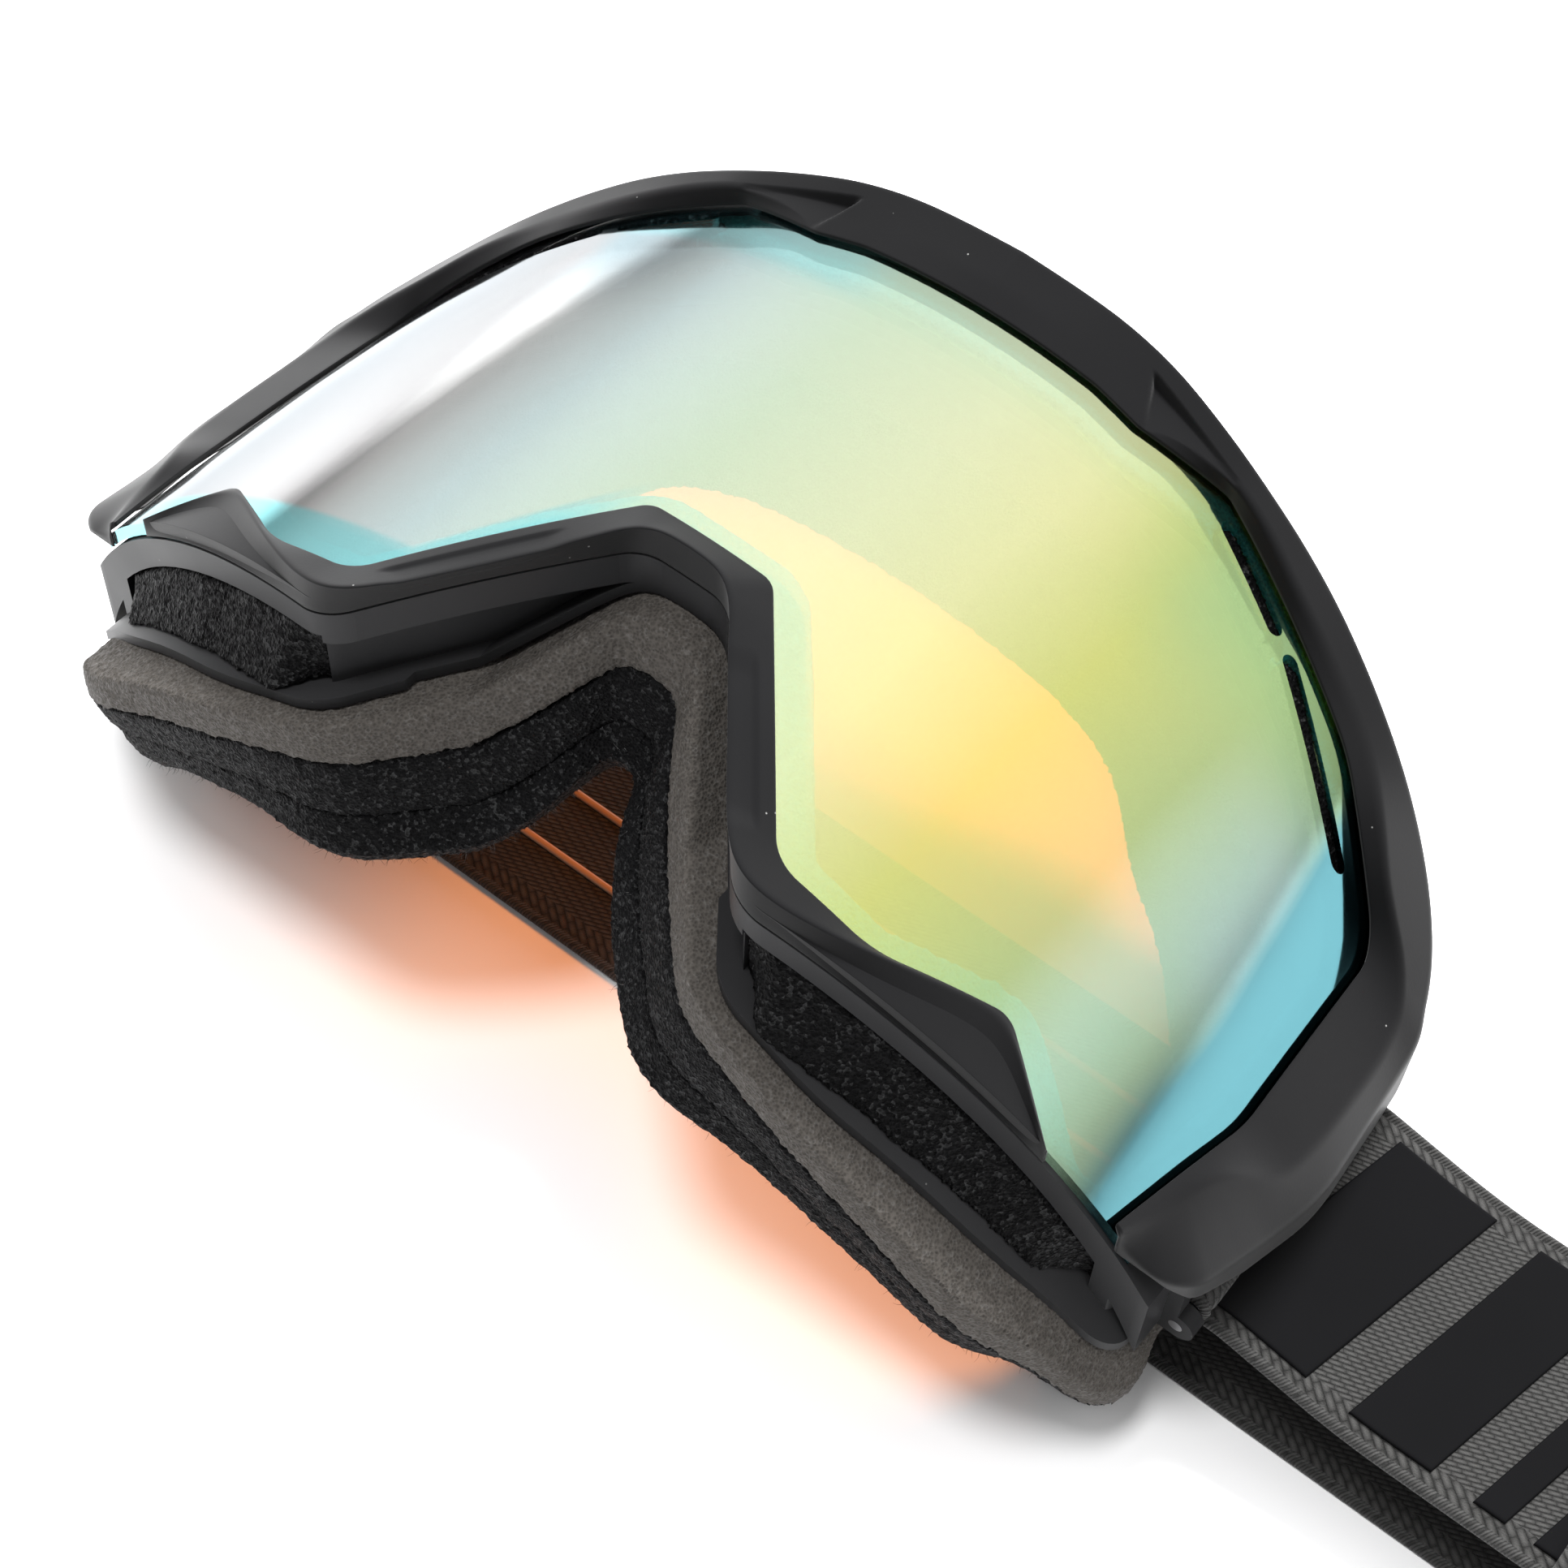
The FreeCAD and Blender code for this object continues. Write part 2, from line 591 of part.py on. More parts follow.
low_ear = (STRAP_LOW - 2 * SOFT - LUG, STRAP_LOW - 2 * SOFT)
high_ear = (STRAP_HIGH + 2 * SOFT, STRAP_HIGH + 2 * SOFT + LUG)
right_lugs = fused("right_lugs", lug("low_lug", low_ear), lug("high_lug", high_ear))
lugs = fused("lugs", right_lugs, mirrored("left_lugs", right_lugs))
right_pin_room = rod("right_pin_room", ANCHOR_X, (low_ear[0] - 1, high_ear[1] + 1), ANCHOR_Z, PIN)
LOOP_ROOM = PIN + PIN_PLAY + size("strap_thickness") + SOFT
loop_y = (low_ear[1], high_ear[0])
right_loop_room = rod("right_loop_room", ANCHOR_X, loop_y, ANCHOR_Z, LOOP_ROOM)
loop_rooms = fused("loop_rooms", right_loop_room, mirrored("left_loop_room", right_loop_room))
pin_rooms = fused("pin_rooms", right_pin_room, mirrored("left_pin_room", right_pin_room))

frame_whole = fused("frame_whole", band, wall, flange_plate, lugs)
frame_tools = fused("frame_tools", windows, brow_windows, pin_rooms, loop_rooms)
finished("frame_body", cut("frame_body", frame_whole, frame_tools))

right_pin = rod("right_pin", ANCHOR_X, (low_ear[0], high_ear[1]), ANCHOR_Z, PIN)
finished("anchor_pin_right", right_pin)
finished("anchor_pin_left", mirrored("left_pin", right_pin))

# ---------------------------------------------------------------- vent foams

RECESS = size("vent_foam_recess")
in_foam_face = offset_prism(rim, "-Sizes.vent_foam_recess", "in_vent_face")
in_foam_rear = offset_prism(rim, "-Sizes.vent_foam_recess - Sizes.vent_foam_thickness", "in_vent_rear")
vent_space = common("vent_space", bottom_vent("vent_fill", SOFT, below_vent_foam), in_foam_face)
right_vent_foam = cut("right_vent_foam", vent_space, in_foam_rear)
finished("bottom_vent_foam_right", right_vent_foam)
finished("bottom_vent_foam_left", mirrored("left_vent_foam", right_vent_foam))

BROW_FACE = "-Sizes.flange_overhang - Sizes.brow_foam_recess"
in_brow_face = offset_prism(flange, BROW_FACE, "in_brow_face")
in_brow_rear = offset_prism(flange, BROW_FACE + " - Sizes.vent_foam_thickness", "in_brow_rear")
LEDGE_DEPTH = PACK_DEPTH + " + Sizes.fit_gap + Sizes.ledge_thickness"
below_brow_foam = lens_level("below_brow_foam", LEDGE_DEPTH + " + Sizes.soft_gap")
brow_fill = common("brow_fill", brow_vents("brow_foam_row", SOFT, below_brow_foam), in_brow_face)
finished("brow_vent_foam", cut("brow_vent_foam", brow_fill, in_brow_rear))

# ---------------------------------------------------------------- covers

cover_space = cut("cover_space", common("cover_top", in_rim, below_crest), below_outer_lens)
cover_ring = cut("cover_ring", cover_space, in_opening)
lens_room = common("lens_room", lens_plan_clear, below_cover_seat)
cover_blank = cut("cover_blank", cover_ring, lens_room)
BROW_END = 80.0
NOSE_END = 71.6
SPLIT_Y = -10.0
brow_zone = box("brow_zone", (-BROW_END, BROW_END), (-80, SPLIT_Y), (0, PRISM_HEIGHT))
nose_zone = box("nose_zone", (-NOSE_END, NOSE_END), (-80, SPLIT_Y), (0, PRISM_HEIGHT))
below_hollow = inside_lens("below_hollow", "Sizes.cover_crest - Sizes.cover_skin", "Sizes.cover_flare")
in_cover_skin = offset_prism(rim, "-Sizes.cover_skin", "in_cover_skin")
in_cover_lip = offset_prism(opening, "Sizes.lens_lap + Sizes.cover_lip", "in_cover_lip")
cover_hollow = cut("cover_hollow", common("hollow_space", in_cover_skin, below_hollow), in_cover_lip)
SKIRT_END = ANCHOR_Z - PIN - PIN_PLAY + SOFT
right_trim = box("right_trim", (84.0, 100.0), (-HALF_DEPTH, HALF_DEPTH), (0, SKIRT_END))
trims = fused("trims", right_trim, mirrored("left_trim", right_trim), loop_rooms)
eye_rooms = []
for name, ear in (("low_eye_room", low_ear), ("high_eye_room", high_ear)):
    eye_rooms.append(rod(name, ANCHOR_X, (ear[0] - SOFT, ear[1] + SOFT), ANCHOR_Z, LUG_RADIUS + SOFT))
eyes = fused("eyes", *eye_rooms)

# Shallow pockets in the brow cover, one on each side of the middle.
POCKET = [(22.6, 42.3), (26.4, 37.9), (36.6, 39.6)]
below_pocket = inside_lens("below_pocket", "Sizes.cover_crest - Sizes.pocket_depth", "Sizes.cover_flare")
pocket_space = prism(polygon_sketch("pocket_outline", POCKET), "pocket_space")
right_pocket = cut("right_pocket", pocket_space, below_pocket)
pockets = fused("pockets", right_pocket, mirrored("left_pocket", right_pocket))
cover_tools = fused("cover_tools", trims, eyes, mirrored("left_eyes", eyes), cover_hollow, pockets)


def crest_edges(base, plan):
    """Numbers of the edges round the crest of a cover that stand over a plan outline."""
    crest = max(below_crest.Shape.Faces, key=lambda side: side.Area)
    outline = Part.Wire(plan.Shape.Edges)
    near = 0.3
    short = 0.7
    numbers = []
    for number, edge in enumerate(base.Shape.Edges, start=1):
        start, end = edge.FirstParameter, edge.LastParameter
        middle = edge.valueAt((start + end) / 2)
        places = [edge.valueAt(start), middle, edge.valueAt(end)]
        rise = max(crest.distToShape(Part.Vertex(place))[0] for place in places)
        stray = outline.distToShape(Part.Vertex(Vector(middle.x, middle.y, 0)))[0]
        if edge.Length > short and rise < near and stray < near:
            numbers.append(number)
    return numbers


def bevelled(name, base, plan, first, second):
    """The solid with its crest cut back by two lengths where it stands over a plan outline."""
    doc.recompute()
    bevel = doc.addObject("Part::Chamfer", name)
    bevel.Base = base
    bevel.Edges = [(number, size(first), size(second)) for number in crest_edges(base, plan)]
    return bevel


EASE = ("cover_inner_bevel", "cover_inner_bevel")
brow_solid = cut("brow_solid", cover_blank, brow_zone)
brow_eased = bevelled("brow_eased", brow_solid, opening, *EASE)
brow_faceted = bevelled("brow_faceted", brow_eased, rim, "cover_facet_width", "cover_facet_drop")
finished("brow_cover", cut("brow_cover", brow_faceted, cover_tools))
nose_solid = common("nose_solid", cover_blank, nose_zone)
finished("nose_cover", bevelled("nose_eased", nose_solid, opening, *EASE))

# ---------------------------------------------------------------- face foam

foam_ring = cut("foam_ring", in_foam, in_foam_bore)
CHANNEL_SIDE = 0.6
CHANNEL = size("strap_thickness") + 3 * SOFT
channel_y = (STRAP_LOW - CHANNEL_SIDE, STRAP_HIGH + CHANNEL_SIDE)
strap_channel = box("strap_channel", (-100, 100), channel_y, (-1, CHANNEL))
foam_tools = fused("foam_tools", strap_channel, loop_rooms)


def foam_layer(label, front, back):
    """One layer of the face foam, between two levels under the flange, notched where the strap passes."""
    top = common(label + "_top", foam_ring, front)
    layer = cut(label + "_layer", top, back)
    return finished(label, cut(label, layer, foam_tools))


foam_layer("face_foam_base", face_foam_front, face_base_back)
foam_layer("face_foam_mid", face_mid_front, face_mid_back)
foam_layer("face_foam_fleece", face_fleece_front, face_back)

# ---------------------------------------------------------------- strap

THICK = size("strap_thickness")


def path_sketch(name, corners, y):
    """An open path in an XZ plane: x, z and corner radius of each point, with straight runs between arcs."""
    points = [Vector(x, z, 0) for x, z, _ in corners]
    sketch = doc.addObject("Sketcher::SketchObject", name)
    sketch.Placement = Placement(Vector(0, y, 0), Rotation(Vector(1, 0, 0), 90))
    runs, bends, rules = [], [], []
    near = points[0]
    for i in range(1, len(points) - 1):
        ahead = (points[i] - points[i - 1]).normalize()
        onward = (points[i + 1] - points[i]).normalize()
        radius = corners[i][2]
        run = radius * math.tan(ahead.getAngle(onward) / 2)
        stop, start = points[i] - ahead * run, points[i] + onward * run
        centre = stop + (onward - ahead * ahead.dot(onward)).normalize() * radius
        runs.append(sketch.addGeometry(Part.LineSegment(near, stop), False))
        arc, first = short_arc(centre, stop, start)
        corner = sketch.addGeometry(Part.Point(points[i]), True)
        bends.append((sketch.addGeometry(arc, False), first, corner))
        near = start
    runs.append(sketch.addGeometry(Part.LineSegment(near, points[-1]), False))
    for i, (arc, first, point) in enumerate(bends):
        rules.append(Sketcher.Constraint("Tangent", runs[i], 2, arc, first))
        rules.append(Sketcher.Constraint("Tangent", runs[i + 1], 1, arc, 3 - first))
        rules.append(Sketcher.Constraint("PointOnObject", point, 1, runs[i]))
        rules.append(Sketcher.Constraint("PointOnObject", point, 1, runs[i + 1]))
        rules.append(Sketcher.Constraint("DistanceX", -1, 1, point, 1, points[i + 1].x))
        rules.append(Sketcher.Constraint("DistanceY", -1, 1, point, 1, points[i + 1].y))
        rules.append(Sketcher.Constraint("Radius", arc, corners[i + 1][2]))
    for line, end, point in ((runs[0], 1, points[0]), (runs[-1], 2, points[-1])):
        rules.append(Sketcher.Constraint("DistanceX", -1, 1, line, end, point.x))
        rules.append(Sketcher.Constraint("DistanceY", -1, 1, line, end, point.y))
    sketch.addConstraint(rules)
    return sketch


def ribbon(name, corners, thick, y):
    """A band of a thickness that is an expression, to the left of a path, between two limits along Y."""
    strip = doc.addObject("Part::Offset2D", name + "_strip")
    strip.Source = path_sketch(name + "_path", corners, y[0])
    strip.Mode = "Skin"
    strip.Join = "Arc"
    strip.Fill = True
    strip.setExpression("Value", thick)
    solid = doc.addObject("Part::Extrusion", name)
    solid.Base = strip
    solid.DirMode = "Custom"
    solid.Dir = Vector(0, 1, 0)
    solid.LengthFwd = y[1] - y[0]
    solid.Solid = True
    return solid


def eye(name, x, z, inner, y):
    """The end of a webbing wrapped round a bar: a tube of the webbing's thickness."""
    skin = rod(name + "_skin", x, y, z, inner + THICK)
    return cut(name, skin, rod(name + "_bore", x, (y[0] - 1, y[1] + 1), z, inner))


STRAP_Y = (STRAP_LOW, STRAP_HIGH)
THICK_SIZE = "Sizes.strap_thickness"
EYE = PIN + PIN_PLAY
RING_BAR = 1.6
RING_EYE = RING_BAR + SOFT
RING_X, RING_Z = 153.0, 17.0
RING_PITCH = 8.2
NEXT_BAR = RING_X + RING_PITCH
UNDER_TOP = RING_Z - RING_EYE
OVER_LOW = RING_Z + RING_EYE
FOLD = 5.9

# From the right temple to the first bar of the ring.
SHORT_PATH = [
    (ANCHOR_X, ANCHOR_Z - EYE - THICK, 0),
    (ANCHOR_X + 4.5, ANCHOR_Z - EYE - THICK, 12.0),
    (112.0, size("strap_run_height") - THICK, 60.0),
    (RING_X - RING_EYE - THICK / 2, RING_Z - THICK / 2, 0),
]
short_band = ribbon("short_band", SHORT_PATH, THICK_SIZE, STRAP_Y)
short_eye = eye("short_eye", ANCHOR_X, ANCHOR_Z, EYE, STRAP_Y)
short_ring_eye = eye("short_ring_eye", RING_X, RING_Z, RING_EYE, STRAP_Y)
finished("strap_short", fused("strap_short", short_band, short_eye, short_ring_eye))

# From the left temple down and along under the goggles, round the fold and back to the ring's second bar.
FOLD_X = size("strap_fold_x")
LEFT_X = -(ANCHOR_X + EYE + THICK)
LONG_PATH = [
    (LEFT_X, ANCHOR_Z, 0),
    (LEFT_X, 0, 4.0),
    (FOLD_X, 0, FOLD + THICK),
    (FOLD_X, UNDER_TOP, FOLD + THICK),
    (NEXT_BAR, UNDER_TOP, 0),
]
long_band = ribbon("long_band", LONG_PATH, THICK_SIZE, STRAP_Y)
long_eye = eye("long_eye", -ANCHOR_X, ANCHOR_Z, EYE, STRAP_Y)
wrap_tube = eye("wrap_tube", NEXT_BAR, RING_Z, RING_EYE, STRAP_Y)
wrap_half = box("wrap_half", (RING_X, NEXT_BAR), STRAP_Y, (RING_Z - 6, RING_Z + 6))
wrap = common("wrap", wrap_tube, wrap_half)
OVER_END = NEXT_BAR + 19.0
over_run = box("over_run", (NEXT_BAR, OVER_END), STRAP_Y, (OVER_LOW, OVER_LOW + THICK))
finished("strap_long", fused("strap_long", long_band, long_eye, wrap, over_run))

# The tail that slides with the slider, on top of the layer that comes over the ring.
SLIDER_X = 192.0
SLIDER_BAR = 0.9
SLIDER_EYE = SLIDER_BAR + SOFT
TAIL_LOW = OVER_LOW + THICK + SOFT
SLIDER_Z = TAIL_LOW - SLIDER_EYE
tail_run = box("tail_run", (NEXT_BAR + 1.0, SLIDER_X), STRAP_Y, (TAIL_LOW, TAIL_LOW + THICK))
tail_eye = eye("tail_eye", SLIDER_X, SLIDER_Z, SLIDER_EYE, STRAP_Y)
finished("strap_tail", fused("strap_tail", tail_run, tail_eye))

# Ring: two round bars between two cheeks.
EAR = 2 * RING_BAR
RING_PLAY = 1.2
RING_INNER = (STRAP_LOW - RING_PLAY, STRAP_HIGH + RING_PLAY)
ring_bars = [
    rod("first_bar", RING_X, RING_INNER, RING_Z, RING_BAR),
    rod("second_bar", NEXT_BAR, RING_INNER, RING_Z, RING_BAR),
]


def cheek(name, y, x, z, radius):
    """A rounded bar along X that closes one side of a buckle."""
    ends = [rod(f"{name}_end_{number}", middle, y, z, radius) for number, middle in enumerate(x)]
    return fused(name, box(name + "_bar", x, y, (z - radius, z + radius)), *ends)


low_cheek = cheek("low_cheek", (RING_INNER[0] - EAR, RING_INNER[0]), (RING_X, NEXT_BAR), RING_Z, RING_BAR)
high_cheek = cheek("high_cheek", (RING_INNER[1], RING_INNER[1] + EAR), (RING_X, NEXT_BAR), RING_Z, RING_BAR)
finished("strap_ring", fused("strap_ring", *ring_bars, low_cheek, high_cheek))

# Slider: two outer bars under the webbing and a middle bar over it, joined by two side rails.
RAIL = 2.6
SLIDER_REACH = 8.0
BAR_DEPTH = 2.0
BAR_WIDTH = 2.6
BAR_TOP = UNDER_TOP - THICK - SOFT
RAIL_RISE = 0.5
RAIL_Z = (BAR_TOP - BAR_DEPTH, SLIDER_Z + SLIDER_BAR + RAIL_RISE)
SLIDER_ENDS = (SLIDER_X - SLIDER_REACH, SLIDER_X + SLIDER_REACH)
SLIDER_SPAN = (STRAP_LOW - SOFT, STRAP_HIGH + SOFT)
BAR_Z = (BAR_TOP - BAR_DEPTH, BAR_TOP)
slider_pieces = [
    box("low_rail", SLIDER_ENDS, (SLIDER_SPAN[0] - RAIL, SLIDER_SPAN[0]), RAIL_Z),
    box("high_rail", SLIDER_ENDS, (SLIDER_SPAN[1], SLIDER_SPAN[1] + RAIL), RAIL_Z),
    box("near_bar", (SLIDER_ENDS[0], SLIDER_ENDS[0] + BAR_WIDTH), SLIDER_SPAN, BAR_Z),
    box("far_bar", (SLIDER_ENDS[1] - BAR_WIDTH, SLIDER_ENDS[1]), SLIDER_SPAN, BAR_Z),
    rod("middle_bar", SLIDER_X, SLIDER_SPAN, SLIDER_Z, SLIDER_BAR),
]
finished("strap_slider", fused("strap_slider", *slider_pieces))

# Silicone beads along the inner face of the long webbing, and rubber bars on the outer face of the short one
BEAD = 0.55
BEAD_WIDTH = 1.2
BEAD_RUN = (-70.0, 212.0)
BEAD_PITCH = 9.5
beads = []
for place in (-1, 0, 1):
    y = size("strap_middle_y") + place * BEAD_PITCH
    limits = (y - BEAD_WIDTH / 2, y + BEAD_WIDTH / 2)
    beads.append(box(f"bead_{place + 2}", BEAD_RUN, limits, (THICK, THICK + BEAD)))
bead_group = doc.addObject("Part::Compound", "bead_group")
bead_group.Links = beads
finished("strap_grip_beads", bead_group)

PATCH = 0.5
PATCH_LIFT = 0.1
PATCHES = [(101.0, 9.0), (114.0, 5.0), (123.0, 5.0), (132.0, 9.0)]
PATCH_LEAN = 9.0
PATCH_EDGE = 3.0
patch_path = [(x, z + THICK + PATCH_LIFT, max(radius - THICK, 0)) for x, z, radius in SHORT_PATH]
patch_y = (STRAP_LOW + PATCH_EDGE, STRAP_HIGH - PATCH_EDGE)
patch_layer = ribbon("patch_layer", patch_path, str(PATCH), patch_y)
slants = []
for number, (x, width) in enumerate(PATCHES):
    low = [(x, STRAP_LOW), (x + width, STRAP_LOW)]
    high = [(x + width + PATCH_LEAN, STRAP_HIGH), (x + PATCH_LEAN, STRAP_HIGH)]
    slants.append(prism(polygon_sketch(f"slant_outline_{number}", low + high), f"slant_{number}"))
finished("strap_patches", common("strap_patches", patch_layer, fused("slants", *slants)))

# ---------------------------------------------------------------- write

doc.recompute()
faults = [item.Name for item in doc.Objects if "Invalid" in item.State or "Error" in item.State]
if faults:
    raise RuntimeError(f"objects that failed: {faults}")
os.makedirs("parts", exist_ok=True)
for piece in parts:
    if piece.Shape.isNull() or not piece.Shape.isValid():
        raise RuntimeError(f"{piece.Label} has no valid shape")
    piece.Shape.exportStep(os.path.join("parts", piece.Label + ".step"))
    print(f"{piece.Label:26s} solids {len(piece.Shape.Solids)} faces {len(piece.Shape.Faces):4d}"
          f" volume {piece.Shape.Volume:10.1f}")
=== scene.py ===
"""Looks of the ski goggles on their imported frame: coated lens, moulded covers, layered foam and webbing.

Laid out as an add-on: property groups hold the sizes and colours, one operator makes each piece or
group of like pieces, and a panel in the sidebar lists them.
"""

import math

import bmesh
import bpy
import numpy as np
from bpy.props import FloatProperty, FloatVectorProperty, IntProperty, PointerProperty
from mathutils import Matrix, Vector


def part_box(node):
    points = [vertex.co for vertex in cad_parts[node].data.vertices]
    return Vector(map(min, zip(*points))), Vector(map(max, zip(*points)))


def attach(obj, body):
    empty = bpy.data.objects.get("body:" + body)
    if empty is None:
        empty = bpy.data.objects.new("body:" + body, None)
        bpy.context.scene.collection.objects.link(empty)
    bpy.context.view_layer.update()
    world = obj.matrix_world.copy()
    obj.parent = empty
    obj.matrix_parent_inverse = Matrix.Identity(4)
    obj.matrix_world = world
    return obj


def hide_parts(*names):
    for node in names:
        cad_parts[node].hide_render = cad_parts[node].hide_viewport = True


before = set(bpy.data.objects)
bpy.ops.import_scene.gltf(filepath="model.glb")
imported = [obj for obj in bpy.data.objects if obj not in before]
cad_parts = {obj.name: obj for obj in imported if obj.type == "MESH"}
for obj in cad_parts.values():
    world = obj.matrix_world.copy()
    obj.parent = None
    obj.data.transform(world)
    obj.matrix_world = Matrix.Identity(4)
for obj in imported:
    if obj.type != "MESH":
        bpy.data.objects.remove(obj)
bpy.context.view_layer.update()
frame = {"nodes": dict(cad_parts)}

bl_info = {
    "name": "Ski Goggles Finish",
    "version": (1, 0, 0),
    "blender": (4, 5, 0),
    "location": "View3D > Sidebar > Goggles",
    "description": "Builds the soft pieces, finishes and studio of a pair of ski goggles on their frame",
    "category": "Add Mesh",
}

NODES = frame["nodes"]
GOGGLES = "goggles"
ADJUSTER = "adjuster"
MM = 0.001
SEED = 20


# ---------------------------------------------------------------- sizes and colours

def colour(name, description, value):
    """A colour property in linear light."""
    return FloatVectorProperty(name=name, description=description, subtype="COLOR", size=3,
                               default=value, min=0.0, max=1.0)


def length(name, description, value):
    """A length property in metres."""
    return FloatProperty(name=name, description=description, default=value, unit="LENGTH", precision=5)


def share(name, description, value):
    """A property between none and all."""
    return FloatProperty(name=name, description=description, default=value, subtype="FACTOR",
                         min=0.0, max=1.0)


class LensSettings(bpy.types.PropertyGroup):
    """The coating of the outer lens, its colours partly its tint and partly painted reflection, and the tint
    of the inner one.
    """
    # These colours are partly the coating's own tint and partly painted reflection: each holds the colour
    # that the mirror shows at its place, and the near-white frost is a painted reflection of the studio's
    # light.
    temple: colour("Left temple", "Coating at the left end of the lens", (0.514, 0.502, 0.497))
    frost: colour("Frost", "Coating beside the left temple", (0.820, 0.819, 0.804))
    pale: colour("Pale", "Coating half way to the left temple", (0.749, 0.935, 0.941))
    mint: colour("Mint", "Coating left of the middle", (0.737, 0.918, 0.713))
    straw: colour("Straw", "Coating right of the middle", (0.864, 0.961, 0.640))
    lime: colour("Lime", "Coating over the right eye", (0.896, 0.943, 0.523))
    leaf: colour("Leaf", "Coating half way to the right temple", (0.729, 0.790, 0.271))
    moss: colour("Moss", "Coating beside the right temple", (0.531, 0.684, 0.318))
    aqua: colour("Aqua", "Coating at the right end of the lens", (0.686, 1.000, 0.936))
    rim: colour("Rim", "Right edge of the coat", (0.090, 0.230, 0.260))
    ice: colour("Ice", "Coating over the gasket on the left half", (0.340, 0.840, 0.870))
    lagoon: colour("Lagoon", "Coating at the lower right corner", (0.617, 0.911, 0.639))
    sky: colour("Sky", "Coating along the brow on the left", (0.401, 0.484, 0.508))
    fern: colour("Fern", "Coating along the brow on the right", (0.511, 0.727, 0.334))
    mirror: share("Mirror", "Share of light that the coating turns back at the middle", 0.41)
    tint: colour("Inner tint", "Light that the inner lens lets through", (1.0, 0.55, 0.24))
    # The deep tint applies to camera rays only: painted shade over what is seen through the inner lens.
    deep: colour("Deep tint", "Inner tint as the eye sees it through the coat", (0.80, 0.30, 0.13))
    haze: share("Inner haze", "Share of light that the inner lens scatters", 0.05)


class MouldSettings(bpy.types.PropertyGroup):
    """The moulded covers, frame and buckles."""
    cover: colour("Cover", "Soft-touch covers", (0.0046, 0.0046, 0.0050))
    cover_rough: share("Cover roughness", "Roughness of the covers", 0.48)
    frame: colour("Frame", "Flexible frame", (0.021, 0.021, 0.022))
    frame_rough: share("Frame roughness", "Roughness of the frame", 0.42)
    buckle: colour("Buckle", "Ring and slider", (0.010, 0.010, 0.011))
    grain: length("Grain", "Size of the moulded grain", 0.00035)


class FoamSettings(bpy.types.PropertyGroup):
    """The layered face foam, the vent foams and the gasket."""
    base: colour("Front layer", "Layer glued to the frame", (0.056, 0.051, 0.046))
    middle: colour("Middle layer", "Layer between the front and the fleece", (0.0045, 0.0045, 0.0048))
    fleece: colour("Fleece layer", "Layer that lies on the face", (0.0040, 0.0040, 0.0043))
    vent: colour("Vent foam", "Foam behind the vents", (0.0030, 0.0030, 0.0032))
    # The gasket's teal is painted reflection: the colour that the coating shows over the dark gasket foam.
    gasket: colour("Gasket", "Foam between the two lenses", (0.014, 0.13, 0.13))
    cell: length("Cell", "Size of one open cell", 0.00042)
    crown: length("Crown", "How far the sides of a layer stand out between its glue lines", 0.0002)
    voxel: length("Voxel", "Grid of the foam's surface", 0.0006)
    fibres: IntProperty(name="Fibres", description="Loose fibres along the fleece's edges",
                        default=5200, min=0)
    fibre: length("Fibre", "Mean length of a loose fibre", 0.0011)


class WebbingSettings(bpy.types.PropertyGroup):
    """The elastic webbing, its beads and its rubber bars."""
    width: length("Width", "Width of the webbing", 0.040)
    thickness: length("Thickness", "Thickness of the webbing", 0.0015)
    cord: length("Edge cord", "Width of the corded edge", 0.0015)
    rib: length("Rib", "Distance between the twill's ribs", 0.00062)
    yarn: colour("Yarn", "Webbing colour", (0.034, 0.0335, 0.0325))
    rubber: colour("Rubber", "Printed rubber bars", (0.0034, 0.0034, 0.0038))
    # The beads' bright orange is painted light: the orange glow that the clear beads carry.
    silicone: colour("Silicone", "Clear beads on the inner face", (0.42, 0.27, 0.17))


class StageSettings(bpy.types.PropertyGroup):
    """Floor, light and camera."""
    floor: colour("Floor", "Colour of the floor", (0.82, 0.82, 0.825))
    dome: FloatProperty(name="Dome", description="Strength of the light from all round", default=0.19)
    glow: FloatProperty(name="Glow", description="Strength that the dome gains above the brow", default=1.32)
    key: FloatProperty(name="Key", description="Power of the lamp behind the brow in watts", default=38.0)
    top: FloatProperty(name="Top", description="Power of the lamp overhead in watts", default=9.0)
    lens: FloatProperty(name="Camera lens", description="Focal length in millimetres", default=71.23)


# ---------------------------------------------------------------- shader helpers

SOCKET_TYPES = {"Vector": "NodeSocketVector", "Colour": "NodeSocketColor"}
# The third colour is that of painted glints on a few foam cell walls.
GREY, DUST_TONE, GLINT_TONE = (0.1, 0.1, 0.1, 1.0), (0.30, 0.30, 0.29, 1.0), (0.62, 0.63, 0.64, 1.0)
GRAIN_DEPTH = 0.04 * MM
CELL_DEPTH = 0.35 * MM
YARN_DEPTH = 0.22 * MM


def fill(tree, node, sockets):
    """Gives a node's inputs, by name or number, plain values or the outputs of other nodes."""
    for label, value in sockets.items():
        if isinstance(value, bpy.types.NodeSocket):
            tree.links.new(value, node.inputs[label])
        else:
            node.inputs[label].default_value = value


def new_node(tree, kind, sockets=None, **settings):
    """A shader node with its settings and its inputs."""
    node = tree.nodes.new("ShaderNode" + kind)
    for key, value in settings.items():
        setattr(node, key, value)
    fill(tree, node, sockets or {})
    return node


def calc(tree, operation, *values):
    """The result of a Math node."""
    return new_node(tree, "Math", dict(enumerate(values)), operation=operation).outputs[0]


def times(tree, value, *factors):
    """A value times one or more others."""
    for factor in factors:
        value = calc(tree, "MULTIPLY", value, factor)
    return value


def linear(tree, value, slope, start):
    """A straight line over a value: slope times the value, plus start."""
    return calc(tree, "MULTIPLY_ADD", value, slope, start)


